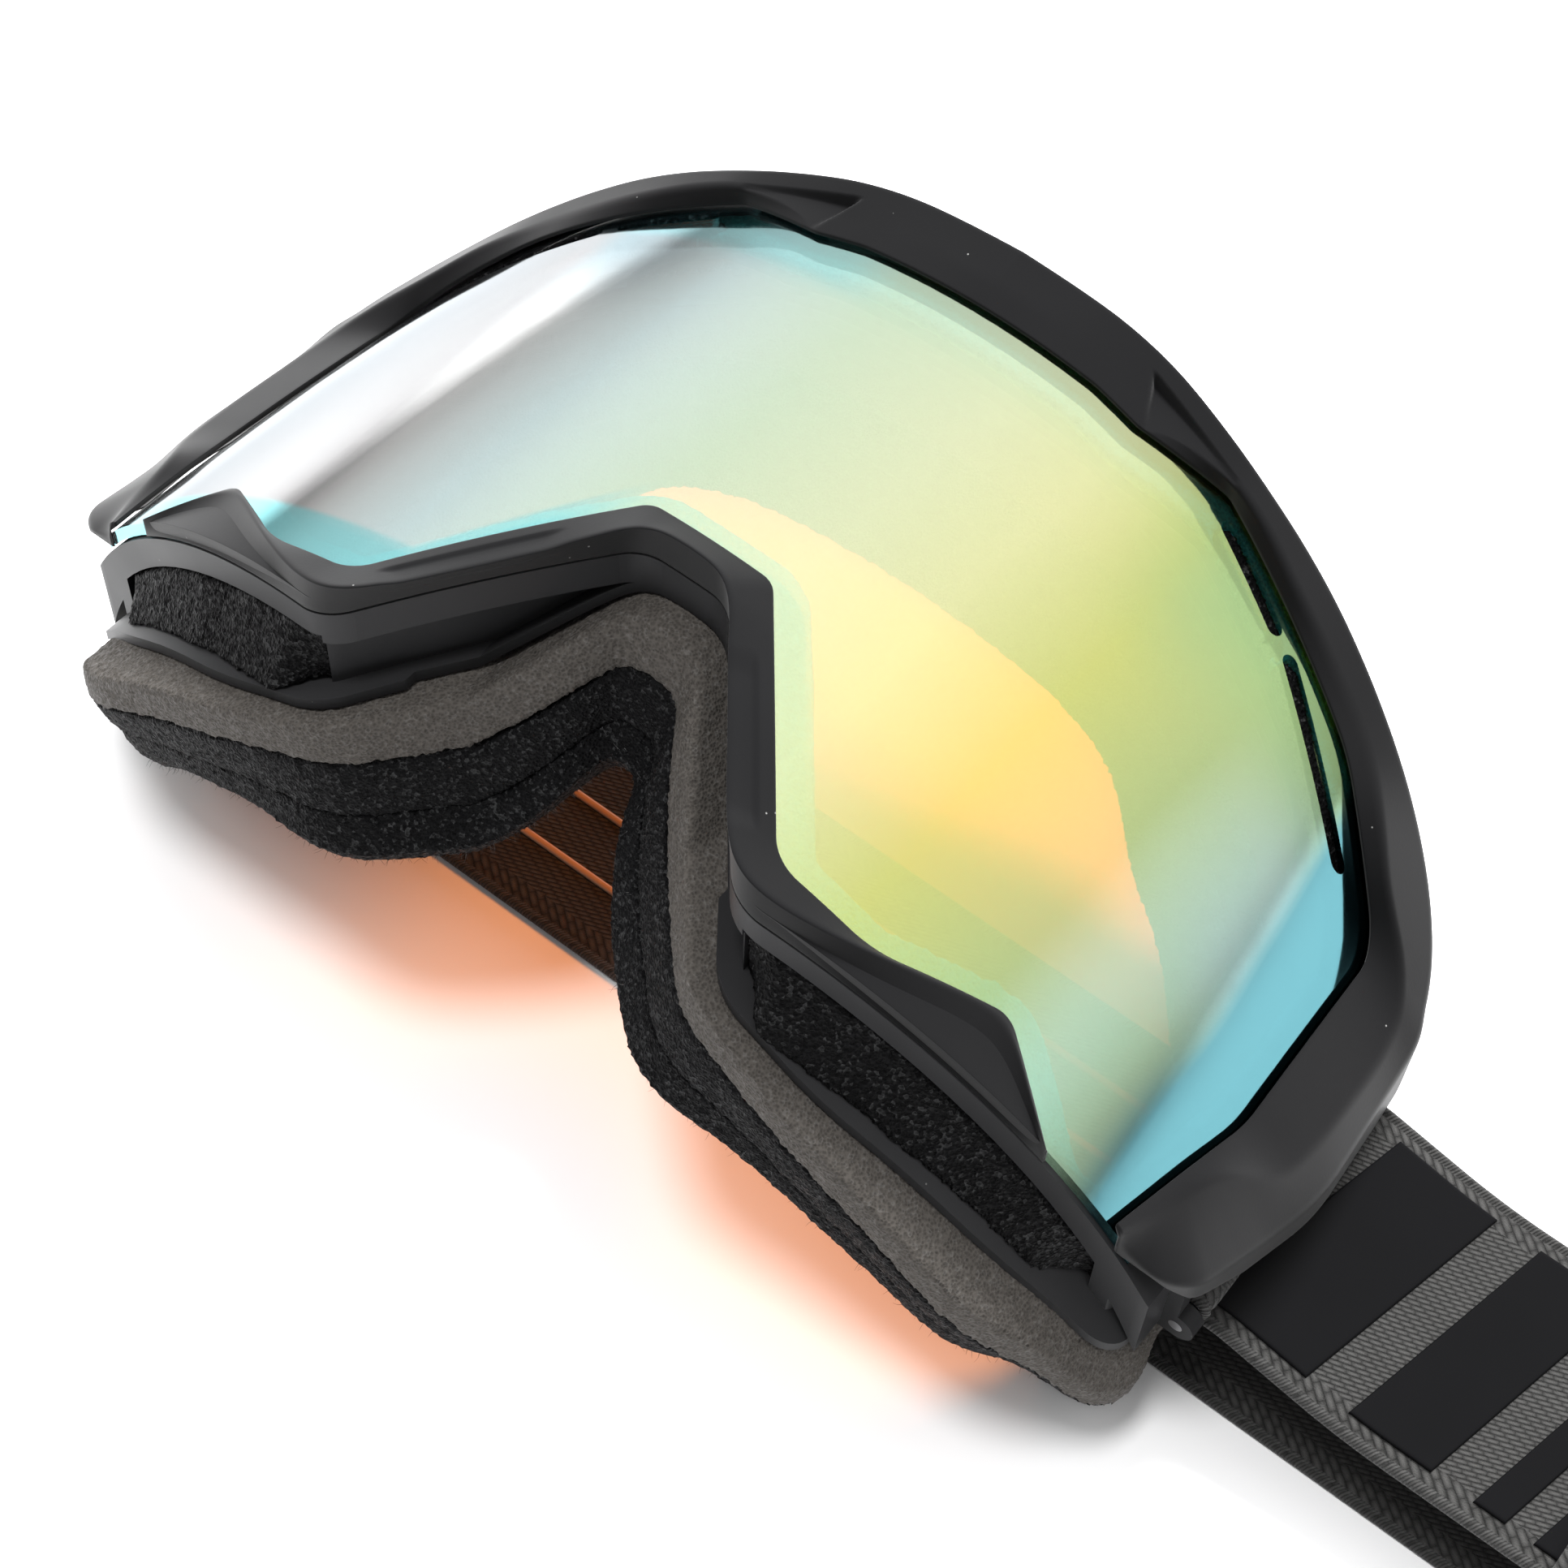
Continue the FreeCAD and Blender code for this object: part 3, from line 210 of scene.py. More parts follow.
def scaled(tree, vector, factor):
    """A colour or vector times a number."""
    return new_node(tree, "VectorMath", {0: vector, "Scale": factor}, operation="SCALE").outputs[0]


def noise(tree, place, scale, detail, roughness=0.5, output="Fac"):
    """A noise over places in metres."""
    sockets = {"Vector": place, "Scale": scale, "Detail": detail, "Roughness": roughness}
    return new_node(tree, "TexNoise", sockets).outputs[output]


def blend(tree, amount, first, second):
    """A mix of two colours."""
    return new_node(tree, "Mix", {0: amount, 6: first, 7: second}, data_type="RGBA").outputs[2]


def rgba(value):
    """A colour with full alpha."""
    return (*value[:3], 1.0)


def shade(value, factor):
    """A colour made lighter or darker."""
    return rgba([min(1.0, part * factor) for part in value])


def ramp(tree, value, stops, smooth="EASE"):
    """A colour ramp over a value, through (place, grey or colour) stops."""
    node = new_node(tree, "ValToRGB", {0: value})
    node.color_ramp.interpolation = smooth
    elements = node.color_ramp.elements
    while len(elements) < len(stops):
        elements.new(0.5)
    for element, (place, _) in zip(elements, stops):
        element.position = place
    for element, (_, tone) in zip(elements, stops):
        element.color = (tone, tone, tone, 1.0) if isinstance(tone, float) else rgba(tone)
    return node.outputs[0]


def fade(tree, value, low, high, first=0.0, last=1.0):
    """An eased change over a value, from first at low to last at high."""
    return ramp(tree, value, [(low, first), (high, last)])


def bump(tree, height, strength, distance):
    """A normal bent by a height."""
    return new_node(tree, "Bump", {"Height": height, "Strength": strength, "Distance": distance}).outputs[0]


def group(name, inputs, outputs):
    """A shader node group that reads a vector and the named inputs: its tree, start outputs and end node."""
    tree = bpy.data.node_groups.new(name, "ShaderNodeTree")
    for way, labels in (("INPUT", ("Vector", *inputs)), ("OUTPUT", outputs)):
        for label in labels:
            kind = SOCKET_TYPES.get(label, "NodeSocketFloat")
            socket = tree.interface.new_socket(label, in_out=way, socket_type=kind)
            if way == "INPUT" and label in inputs:
                socket.default_value = inputs[label]
    return tree, tree.nodes.new("NodeGroupInput").outputs, tree.nodes.new("NodeGroupOutput")


def group_grain():
    """Fine moulded grain, broad tone drift and a few specks of dust."""
    tree, start, end = group(
        "moulded_grain", {"Grain": 3000.0, "Colour": GREY, "Roughness": 0.5, "Dust": 0.5},
        ("Colour", "Roughness", "Height"))
    place = start["Vector"]
    broad = noise(tree, place, 45.0, 3.0)
    specks = new_node(tree, "TexVoronoi", {"Vector": place, "Scale": 420.0, "Randomness": 1.0})
    near = calc(tree, "LESS_THAN", specks.outputs["Distance"], 0.055)
    rare = calc(tree, "GREATER_THAN", noise(tree, place, 160.0, 1.0), 0.60)
    tone = scaled(tree, start["Colour"], linear(tree, broad, 0.5, 0.75))
    fill(tree, end, {
        "Colour": blend(tree, times(tree, near, rare, start["Dust"]), tone, DUST_TONE),
        "Roughness": calc(tree, "ADD", start["Roughness"], linear(tree, broad, 0.16, -0.08)),
        "Height": noise(tree, place, start["Grain"], 3.0, roughness=0.6)})
    return tree


def group_cells():
    """Open-cell foam: round cells with raised walls, painted shade on the cell floors and painted glints on a
    few walls.
    """
    tree, start, end = group("open_cells", {"Cells": 2000.0, "Colour": GREY},
                             ("Colour", "Height", "Holes", "Roughness"))
    warp = scaled(tree, noise(tree, start["Vector"], 900.0, 2.0, output="Color"), 0.00035)
    place = new_node(tree, "VectorMath", {0: start["Vector"], 1: warp}, operation="ADD").outputs[0]
    cells = new_node(tree, "TexVoronoi", {"Vector": place, "Scale": start["Cells"]}, feature="F1").outputs
    wall = calc(tree, "MINIMUM", times(tree, cells["Distance"], 1.35), 1.0)
    # The cell floors are painted darker than the walls: painted shade in the hollows.
    tone = scaled(tree, start["Colour"], linear(tree, wall, 0.7, 0.62))
    lot = new_node(tree, "SeparateColor", {0: cells["Color"]}).outputs
    # A few cell walls are painted bright: painted glints.
    glint_share = times(tree, calc(tree, "GREATER_THAN", lot[0], 0.86), wall, 0.04)
    fill(tree, end, {
        "Colour": blend(tree, glint_share, tone, GLINT_TONE),
        "Height": wall,
        "Holes": calc(tree, "LESS_THAN", cells["Distance"], 0.38),
        "Roughness": linear(tree, lot[1], 0.35, 0.45)})
    return tree


def group_twill():
    """Elastic twill on a map in metres: slanted ribs of stitches, a turned margin and a cord at each edge.

    Across the ribs the height is a rounded wave; along a rib it is a row of stitches, each row a
    little over a third of a stitch on from the last. Near an edge the slant is turned and coarser,
    and on the cord it is tight.
    """
    tree, start, end = group("elastic_twill", {"Rib": 0.0006, "Colour": GREY, "Edge": 0.0},
                             ("Colour", "Height"))
    place, edge = start["Vector"], start["Edge"]
    along, across, _ = new_node(tree, "SeparateXYZ", {0: place}).outputs

    def bow(value):
        """An arch over each whole step of a value."""
        return calc(tree, "SINE", times(tree, calc(tree, "FRACT", value), math.pi))

    def stitches(angle, scale, stitch):
        """One field of stitches at an angle: ribs scale times the rib size apart, a stitch some ribs long."""
        slope, rise = math.cos(math.radians(angle)), math.sin(math.radians(angle))
        pitch = times(tree, start["Rib"], scale)
        row = calc(tree, "SUBTRACT", times(tree, across, slope), times(tree, along, rise))
        row = calc(tree, "DIVIDE", row, pitch)
        run = calc(tree, "ADD", times(tree, along, slope), times(tree, across, rise))
        run = calc(tree, "DIVIDE", run, times(tree, pitch, stitch))
        beat = bow(linear(tree, calc(tree, "FLOOR", row), 0.37, run))
        return times(tree, bow(row), calc(tree, "POWER", beat, 0.45))

    in_margin = calc(tree, "GREATER_THAN", edge, 0.25)
    in_cord = calc(tree, "GREATER_THAN", edge, 0.75)
    height = times(tree, stitches(64.0, 0.7, 40.0), in_cord)
    height = linear(tree, stitches(-38.0, 1.75, 2.2), calc(tree, "SUBTRACT", in_margin, in_cord), height)
    height = linear(tree, stitches(21.0, 1.0, 3.0), calc(tree, "SUBTRACT", 1.0, in_margin), height)
    height = linear(tree, calc(tree, "SUBTRACT", noise(tree, place, 5200.0, 3.0), 0.5), 0.7, height)
    light = linear(tree, noise(tree, place, 120.0, 4.0), 0.5, 0.78)
    # The colour follows the weave's height: painted shade in the valleys between the ribs and painted light
    # on their tops; the noise above is a random drift of tone.
    light = times(tree, linear(tree, height, 1.05, 0.22), light)
    fill(tree, end, {"Colour": scaled(tree, start["Colour"], light), "Height": height})
    return tree


GROUPS = {"moulded_grain": group_grain, "open_cells": group_cells, "elastic_twill": group_twill}


def shared(tree, name, sockets):
    """The outputs of one of the shared node groups, which is built on first use."""
    made = bpy.data.node_groups.get(name) or GROUPS[name]()
    return new_node(tree, "Group", sockets, node_tree=made).outputs


def material(name, values):
    """A new material, its tree, its Principled node with the given values, and its Object coordinates."""
    made = bpy.data.materials.new(name)
    made.use_nodes = True
    tree = made.node_tree
    base = tree.nodes["Principled BSDF"]
    fill(tree, base, values)
    return made, tree, base, new_node(tree, "TexCoord").outputs["Object"]


def moulded(name, tone, rough, grain, strength, dust, values=None):
    """Moulded plastic or rubber with a fine grain."""
    made, tree, base, place = material(name, {"Specular IOR Level": 0.07, **(values or {})})
    finish = shared(tree, "moulded_grain", {
        "Vector": place, "Grain": 1.0 / grain, "Colour": rgba(tone), "Roughness": rough, "Dust": dust})
    fill(tree, base, {"Base Color": finish["Colour"], "Roughness": finish["Roughness"],
                      "Normal": bump(tree, finish["Height"], strength, GRAIN_DEPTH)})
    return made


def foam_material(name, tone, cell, strength, holes=False):
    """Open-cell foam, with see-through cells where it is thin."""
    made, tree, base, place = material(name, {"Specular IOR Level": 0.06})
    finish = shared(tree, "open_cells", {"Vector": place, "Cells": 1.0 / cell, "Colour": rgba(tone)})
    fill(tree, base, {"Base Color": finish["Colour"], "Roughness": finish["Roughness"],
                      "Normal": bump(tree, finish["Height"], strength, CELL_DEPTH)})
    if holes:
        fill(tree, base, {"Alpha": calc(tree, "SUBTRACT", 1.0, finish["Holes"])})
    return made


def twill_material(cloth):
    """Webbing that reads its own map in metres and its edge mask."""
    made, tree, base, _ = material("elastic_webbing", {
        "Roughness": 0.78, "Sheen Weight": 0.12, "Sheen Roughness": 0.5, "Specular IOR Level": 0.25})
    weave = shared(tree, "elastic_twill", {
        "Vector": new_node(tree, "UVMap", uv_map="cloth").outputs[0],
        "Edge": new_node(tree, "Attribute", attribute_name="edge").outputs["Fac"],
        "Rib": cloth.rib, "Colour": rgba(cloth.yarn)})
    fill(tree, base, {"Base Color": weave["Colour"], "Normal": bump(tree, weave["Height"], 0.9, YARN_DEPTH)})
    return made


def dress(node_name, finish):
    """Gives a CAD node one finish in all its slots."""
    slots = NODES[node_name].material_slots
    if not len(slots):
        NODES[node_name].data.materials.append(finish)
    for slot in slots:
        slot.material = finish


# ---------------------------------------------------------------- mesh helpers

ARC_STEP = 0.4


def read(items, key, width, kind=np.float32):
    """One property of every item of a mesh, as the rows of an array."""
    values = np.empty(len(items) * width, kind)
    items.foreach_get(key, values)
    return values.reshape(-1, width)


def vertex_places(mesh):
    """The mesh's points as an array."""
    return read(mesh.vertices, "co", 3).astype(float)


def vertex_normals(mesh):
    """The mesh's point normals as an array."""
    return read(mesh.vertex_normals, "vector", 3).astype(float)


def set_places(mesh, places):
    """Puts an array of points back into the mesh."""
    mesh.vertices.foreach_set("co", places.astype(np.float32).ravel())
    mesh.update()


def mark(mesh, label, values):
    """Keeps a number for each of the mesh's points."""
    mesh.attributes.new(label, "FLOAT", "POINT").data.foreach_set("value", values.astype(np.float32))


def seat(piece, finish, node_name, body=GOGGLES):
    """Gives a piece its finish and slot, and has it ride on a body in the place of a CAD node."""
    piece.data.shade_smooth()
    piece.data.materials.append(finish)
    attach(piece, body)
    if node_name:
        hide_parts(node_name)


def add_piece(name, points, faces):
    """A mesh object from an array of points and a list of faces."""
    mesh = bpy.data.meshes.new(name)
    mesh.from_pydata(points.reshape(-1, 3).tolist(), [], faces)
    mesh.update()
    piece = bpy.data.objects.new(name, mesh)
    bpy.context.scene.collection.objects.link(piece)
    return piece


def grid_quads(rows, columns, closed):
    """The quads of a grid of points, which may close round its columns."""
    i, j = np.indices((rows - 1, columns if closed else columns - 1))
    k = (j + 1) % columns
    quads = [i * columns + j, i * columns + k, (i + 1) * columns + k, (i + 1) * columns + j]
    return np.stack(quads, axis=2).reshape(-1, 4)


def tube_faces(rows, columns):
    """The quads round a tube of rows of points, and its two end faces."""
    ends = [list(range(columns - 1, -1, -1)), list(range((rows - 1) * columns, rows * columns))]
    return grid_quads(rows, columns, True).tolist() + ends


def unit(vectors):
    """The vectors at a length of one."""
    return vectors / np.linalg.norm(vectors, axis=-1, keepdims=True)


def travelled(points):
    """How far along a line each of its points lies."""
    return np.concatenate([[0], np.cumsum(np.linalg.norm(np.diff(points, axis=0), axis=1))])


def even(points, step):
    """The same line with its points evenly apart."""
    along = travelled(points)
    kept = np.concatenate([[True], np.diff(along) > 1e-9])
    points, along = points[kept], along[kept]
    places = np.linspace(0, along[-1], max(3, int(along[-1] / step) + 1))
    return np.column_stack([np.interp(places, along, column) for column in points.T])


def arc_path(corners, step):
    """Points, evenly apart, along straight runs joined by round corners, from (x, z, radius) corners."""
    places = np.array(corners, float)[:, :2]
    pieces = [places[:1]]
    for i in range(1, len(places) - 1):
        ahead, onward = unit(places[i] - places[i - 1]), unit(places[i + 1] - places[i])
        turn = math.atan2(ahead[0] * onward[1] - ahead[1] * onward[0], float(ahead @ onward))
        radius = corners[i][2]
        start = places[i] - ahead * radius * math.tan(abs(turn) / 2)
        side = np.array([-ahead[1], ahead[0]]) * math.copysign(1.0, turn)
        angles = np.linspace(0, abs(turn), max(4, int(abs(turn) * radius / step) + 2))[:, None]
        pieces.append(start + radius * (np.sin(angles) * ahead + (1 - np.cos(angles)) * side))
    pieces.append(places[-1:])
    return even(np.vstack(pieces), step)


def round_arc(centre, radius, first, last):
    """Points on an arc about a bar at (x, z), from one angle to another, in degrees."""
    count = max(4, int(abs(math.radians(last - first)) * radius / ARC_STEP) + 1)
    angles = np.radians(np.linspace(first, last, count))
    return np.array(centre) + radius * np.column_stack([np.cos(angles), np.sin(angles)])


def eased(value, low, high):
    """A smooth step from 0 at low to 1 at high."""
    t = np.clip((value - low) / (high - low), 0, 1)
    return t * t * (3 - 2 * t)


def averaged(values, spread):
    """Running means over a spread of stations to each side, with both ends kept."""
    before, after = 2 * values[0] - values[spread:0:-1], 2 * values[-1] - values[-2:-spread - 2:-1]
    span = 2 * spread + 1
    return np.convolve(np.concatenate([before, values, after]), np.ones(span) / span, "valid")


def skinned(name, node_name, voxel):
    """A CAD node's mesh, its loose triangles joined, skinned again on an even grid of small quads."""
    mesh = NODES[node_name].data.copy()
    work = bmesh.new()
    work.from_mesh(mesh)
    bmesh.ops.remove_doubles(work, verts=work.verts, dist=0.00001)
    work.to_mesh(mesh)
    work.free()
    mesh.materials.clear()
    obj = bpy.data.objects.new(name, mesh)
    bpy.context.scene.collection.objects.link(obj)
    skin = obj.modifiers.new("even_skin", "REMESH")
    skin.mode = "VOXEL"
    skin.voxel_size = voxel
    bpy.context.view_layer.update()
    made = bpy.data.meshes.new_from_object(obj.evaluated_get(bpy.context.evaluated_depsgraph_get()))
    made.name = name
    obj.modifiers.clear()
    obj.data = made
    return obj


def relaxed(mesh, rounds):
    """The mesh's points, each moved several times half way to the mean of its neighbours."""
    a, b = read(mesh.edges, "vertices", 2, np.int32).T
    places = vertex_places(mesh)
    size = len(places)
    count = np.maximum(np.bincount(a, minlength=size) + np.bincount(b, minlength=size), 1)[:, None]
    for _ in range(rounds):
        total = [np.bincount(a, column[b], size) + np.bincount(b, column[a], size) for column in places.T]
        places = 0.5 * (places + np.stack(total, axis=1) / count)
    return places


# ---------------------------------------------------------------- goggles shape that the foam follows

FACE_RADIUS = 98.3 * MM
FACE_PIVOT = (-52.0 * MM, -25.8 * MM)
FACE_TILT = math.radians(4.5)
ROLL_TOP = 81.5 * MM
ROLL_RADIUS = 16.0 * MM
ROLL_SLOPE = math.radians(42.0)
ROLL_END_Y = -4.0 * MM
LAYERS = {"base": (0.0, 7.0 * MM), "middle": (7.0 * MM, 14.5 * MM), "fleece": (14.5 * MM, 28.5 * MM)}
FLOOR_GAP = 0.2 * MM
# How much thinner the fleece is pressed below the eyes, and how far the foam draws in per unit of depth at
# the temples and along the brow.
PRESSED, TEMPLE_DRAW, BROW_DRAW = 0.35, 0.29, 0.36
# Shares of a layer's depth, from its middle, over which it comes to be glued, and its front's set-back.
GLUE_LINE, SET_BACK = (0.32, 0.42), 0.5 * MM


def face_level(x, y):
    """Height of the surface that the face foam is glued to: a tilted drum with a roll over the nose."""
    drum = np.sqrt(np.clip(FACE_RADIUS ** 2 - x ** 2, 0, None))
    drum = (drum - math.sin(FACE_TILT) * (y - FACE_PIVOT[0])) / math.cos(FACE_TILT) + FACE_PIVOT[1]
    reach = np.abs(x)
    touch = ROLL_RADIUS * math.sin(ROLL_SLOPE)
    centre = ROLL_TOP - ROLL_RADIUS
    crown = centre + np.sqrt(np.clip(ROLL_RADIUS ** 2 - reach ** 2, 0, None))
    slope = centre + ROLL_RADIUS * math.cos(ROLL_SLOPE) - (reach - touch) * math.tan(ROLL_SLOPE)
    roll = np.where(reach < touch, crown, slope)
    return np.where(y < ROLL_END_Y, np.maximum(drum, roll), drum)


# How far the foam's outline stands out from the frame's below the eyes: distance from the middle, then the
# distance at the four depths, and the direction in which it stands out.
LEAN_DEPTHS = (0.0, 7.0, 21.0, 28.5)
LEAN = np.array((
    (0.0, 1.5, 4.6, 10.0, 8.0, 0.0, -1.0), (5.0, 1.5, 4.8, 10.6, 8.6, -0.25, -0.97),
    (10.0, 1.5, 4.8, 11.0, 9.0, -0.55, -0.83), (15.0, 1.4, 4.4, 11.0, 9.0, -0.75, -0.66),
    (20.0, 1.3, 3.8, 10.4, 8.4, -0.81, -0.58), (26.0, 1.0, 2.2, 8.0, 6.0, -0.62, -0.78),
    (31.0, 0.8, 1.5, 5.5, 3.2, -0.35, -0.94), (38.0, 1.0, 1.4, 2.4, 0.0, 0.0, -1.0),
    (45.0, 1.2, 1.5, 1.3, -1.3, 0.0, -1.0), (55.0, 2.2, 2.6, 1.5, -1.2, 0.0, -1.0),
    (66.0, 3.2, 3.8, 1.2, -1.6, 0.05, -1.0), (71.0, 3.2, 3.6, -0.8, -4.0, 0.15, -0.99),
    (76.0, 1.6, 1.8, -5.0, -8.0, 0.35, -0.94), (82.0, -0.6, -1.0, -9.0, -11.0, 0.60, -0.80),
    (90.0, -1.5, -2.5, -11.0, -12.0, 0.75, -0.66)))


def leaned(places, depth):
    """The foam's points moved sideways by a distance that grows with depth, as the foam bends over the frame.

    Under the eyes the fleece is also pressed a third thinner, and above them the foam draws in.
    """
    reach, side = np.abs(places[:, 0]) / MM, np.sign(places[:, 0])
    grid = np.arange(0.0, 91.0, 1.0)
    table = [averaged(np.interp(grid, LEAN[:, 0], column), 4) for column in LEAN.T[1:]]
    *stands, way_x, way_y = [np.interp(reach, grid, column) for column in table]
    deep = depth / MM
    for k, (low, high) in enumerate(zip(LEAN_DEPTHS, LEAN_DEPTHS[1:])):
        part = stands[k] + (stands[k + 1] - stands[k]) * (deep - low) / (high - low)
        out = np.where(deep < low, out, part) if k else part
    below = eased(-places[:, 1], 2 * MM, 16 * MM)
    above = eased(places[:, 1], -5 * MM, 15 * MM)
    out = out * MM * below
    made = places.copy()
    pressed = PRESSED * np.maximum(depth - LAYERS["fleece"][0], 0)
    made[:, 2] += pressed * (1 - eased(reach, 50.0, 75.0)) * below
    made[:, 0] += side * out * way_x * eased(reach, 0.0, 3.0)
    made[:, 1] += out * way_y
    made[:, 0] -= side * TEMPLE_DRAW * depth * eased(reach, 35.0, 60.0) * (1 - below)
    made[:, 1] -= BROW_DRAW * depth * above
    return made


def foam_piece(name, node_name, finish, voxel, rounds, rough, crown=0.0, layer=None):
    """A foam piece: the CAD solid skinned on an even grid, relaxed, crowned between glue lines and roughened.

    A layer's outline stays sharp where it is glued, and its front is set back from the layer before it.
    The crown moves a point sideways by crown * 4 t (1 - t), where t runs from the layer's front to
    its back. The roughness moves every point along its normal by a seeded random amount.
    """
    piece = skinned(name, node_name, voxel)
    mesh = piece.data
    sharp = vertex_places(mesh)
    places = relaxed(mesh, rounds)
    if layer:
        front, back = layer
        t = np.clip((face_level(sharp[:, 0], sharp[:, 1]) - sharp[:, 2] - front) / (back - front), 0, 1)
        glued = eased(np.abs(t - 0.5), *GLUE_LINE)
        if layer == LAYERS["fleece"]:
            glued = glued * (t < 0.5)
        places += (sharp - places) * glued[:, None]
        if front:
            places[:, 2] += SET_BACK * (t < 0.05)
    set_places(mesh, places)
    normals = vertex_normals(mesh)
    if layer:
        mark(mesh, "depth", t)
        places[:, :2] += normals[:, :2] * (crown * 4 * t * (1 - t))[:, None]
    random = np.random.default_rng(SEED + len(places))
    places += normals * random.normal(0, rough, len(places))[:, None]
    if layer:
        places = leaned(places, front + t * (back - front))
    places[:, 2] = np.maximum(places[:, 2], FLOOR_GAP)
    set_places(mesh, places)
    seat(piece, finish, node_name)
    return piece


# ---------------------------------------------------------------- goggles shape that the covers follow

AXIS = -8.5
LENS_RADIUS = 96.0
LENS_BULGE = 716.0
LENS_LEAN = math.radians(6.2)
OPENING = (
    (18.0, 36.8, 10.0), (25.2, 35.9, 3.0), (38.5, 38.0, 3.0), (67.0, 26.8, 20.0), (82.2, 15.0, 9.0),
    (83.4, -18.0, 30.0), (79.7, -43.3, 1.0), (71.7, -45.3, 1.0), (59.3, -37.4, 3.0), (45.0, -45.0, 14.0),
    (31.5, -45.4, 6.0), (9.0, -17.3, 3.0))
RIM = (
    (20.0, 46.0, 70.0), (60.0, 37.2, 90.0), (80.5, 29.4, 26.0), (92.4, 17.2, 16.0), (94.8, -15.0, 40.0),
    (90.0, -41.0, 7.0), (70.0, -44.6, 60.0), (30.3, -52.0, 6.5), (6.4, -22.2, 6.0))
# Ridge of each cover from the middle outwards: x, y and rise over the lens in millimetres.
BROW_RIDGE = (
    (0.0, 40.0, 2.4), (8.0, 40.1, 2.3), (16.0, 39.9, 2.2), (21.5, 39.6, 2.2), (26.0, 38.9, 2.2),
    (32.0, 38.6, 2.6), (38.2, 38.2, 3.1), (41.0, 37.6, 3.6), (45.6, 36.4, 3.4), (51.0, 34.3, 3.1),
    (56.2, 32.9, 2.6), (61.0, 31.5, 2.2), (66.0, 30.2, 2.1), (69.5, 28.6, 2.3), (72.3, 26.4, 2.9),
    (75.0, 23.8, 3.3), (77.0, 21.8, 3.4), (79.0, 19.8, 3.5), (82.0, 17.8, 3.9), (84.8, 16.2, 4.5),
    (86.6, 14.6, 4.9), (88.4, 12.3, 5.3), (89.7, 9.3, 5.5), (90.6, 4.6, 5.6), (90.9, -0.4, 5.5),
    (91.1, -9.6, 5.3), (90.6, -17.6, 4.9), (89.7, -20.6, 4.6), (88.0, -23.0, 4.1), (85.9, -25.8, 3.5),
    (84.4, -29.2, 2.9), (83.2, -33.5, 2.1), (82.1, -38.4, 1.65), (81.0, -42.2, 1.3))
NOSE_RIDGE = (
    (0.0, -21.6, 3.7), (4.5, -21.7, 3.7), (7.4, -23.6, 3.5), (9.8, -26.6, 2.8), (12.6, -30.4, 2.4),
    (18.1, -37.4, 2.1), (23.1, -43.9, 2.4), (25.9, -47.3, 2.7), (28.4, -49.6, 3.0), (31.5, -50.6, 2.9),
    (36.0, -49.9, 2.6), (41.0, -48.0, 2.3), (46.0, -45.4, 1.9), (50.0, -43.2, 1.5), (53.0, -41.5, 1.25),
    (56.5, -39.5, 1.15), (59.4, -38.5, 1.15), (62.5, -39.9, 1.15), (66.0, -42.2, 1.15), (68.5, -43.7, 1.1),
    (70.2, -44.6, 1.0))
# Outer edge of the brow cover's outer facet from the middle outwards: x, y and height.
BROW_SHOULDER = (
    (0.0, 46.0, 85.7), (4.9, 45.9, 85.5), (20.2, 45.1, 84.1), (32.0, 43.3, 80.7), (43.3, 40.9, 75.8),
    (53.0, 38.5, 70.1), (59.2, 37.0, 65.5), (64.7, 35.2, 60.5), (69.8, 33.4, 56.2), (75.0, 31.2, 51.0),
    (79.1, 29.3, 46.5), (82.3, 27.2, 43.0), (86.0, 23.8, 39.5), (89.2, 20.2, 36.7), (91.2, 16.5, 34.5),
    (92.6, 11.0, 33.0), (93.3, 4.0, 32.2), (93.6, -4.0, 32.6), (93.7, -13.0, 33.6), (93.3, -23.0, 35.5),
    (92.2, -31.0, 38.0), (90.4, -37.5, 41.5), (88.2, -40.5, 44.0), (84.6, -42.0, 47.0), (80.9, -43.0, 50.4))
# Lower edge of the brow cover on the temples: y and height.
BROW_HEM = (
    (-43.5, 49.5), (-42.5, 46.0), (-41.0, 42.5), (-38.5, 38.5), (-28.4, 31.3), (-15.4, 27.2), (1.8, 23.0),
    (10.0, 21.8))
# Corner of the pocket beside the middle, the ends of its two walls, and the rise of its floor at the three;
# then the width over which its walls fall.
POCKET = ((22.5, 42.8, 1.9), (38.4, 39.1, 3.0), (25.4, 36.9, 0.9))
POCKET_WALL = 0.7
STATION = 0.3
OUTLINE_STEP = 0.1
MIRROR = np.array([-1.0, 1.0, 1.0])
SMOOTHING = 2.5
SKIRT_DROP = 1.6
SKIRT_WIDTH = 0.45
LENS_CLEAR = 0.3
LIP = 0.85
# Stations over which the inner and the outer rail are evened out, the outer one again along the brow, and
# the height of the shoulder.
INNER_SPREAD, OUTER_SPREAD, BROW_SPREAD, SHOULDER_SPREAD = 6, 20, 22, 24
# The shoulder's height is read by the direction from the point this far below the middle.
SHOULDER_PIVOT = 50.0
# Least height of the shoulder and of the skirt's roof over the skirt's lower edge, and of the underside over
# the lens; the roof's least height at the temples, from a place outwards and down; and the nose cover's
# shoulder as a share of the way from its ridge to its foot.
SHOULDER_GAP, ROOF_GAP, UNDER_CLEAR = 0.8, 0.4, 0.25
TEMPLE_ROOF, TEMPLE_PLACE, NOSE_SHOULDER = 25.7, (86.0, 12.0), 0.14
# Corner radius of each rail of a cover, and the points between it and the next: the lip's two edges, ridge,
# shoulder, foot, and the skirt's two edges.
RAIL_RADII = (0.1, 0.22, 0.9, 0.8, 0.2, 0.1, 0.1)
RAIL_POINTS = (1, 14, 22, 4, 0, 2, 8)
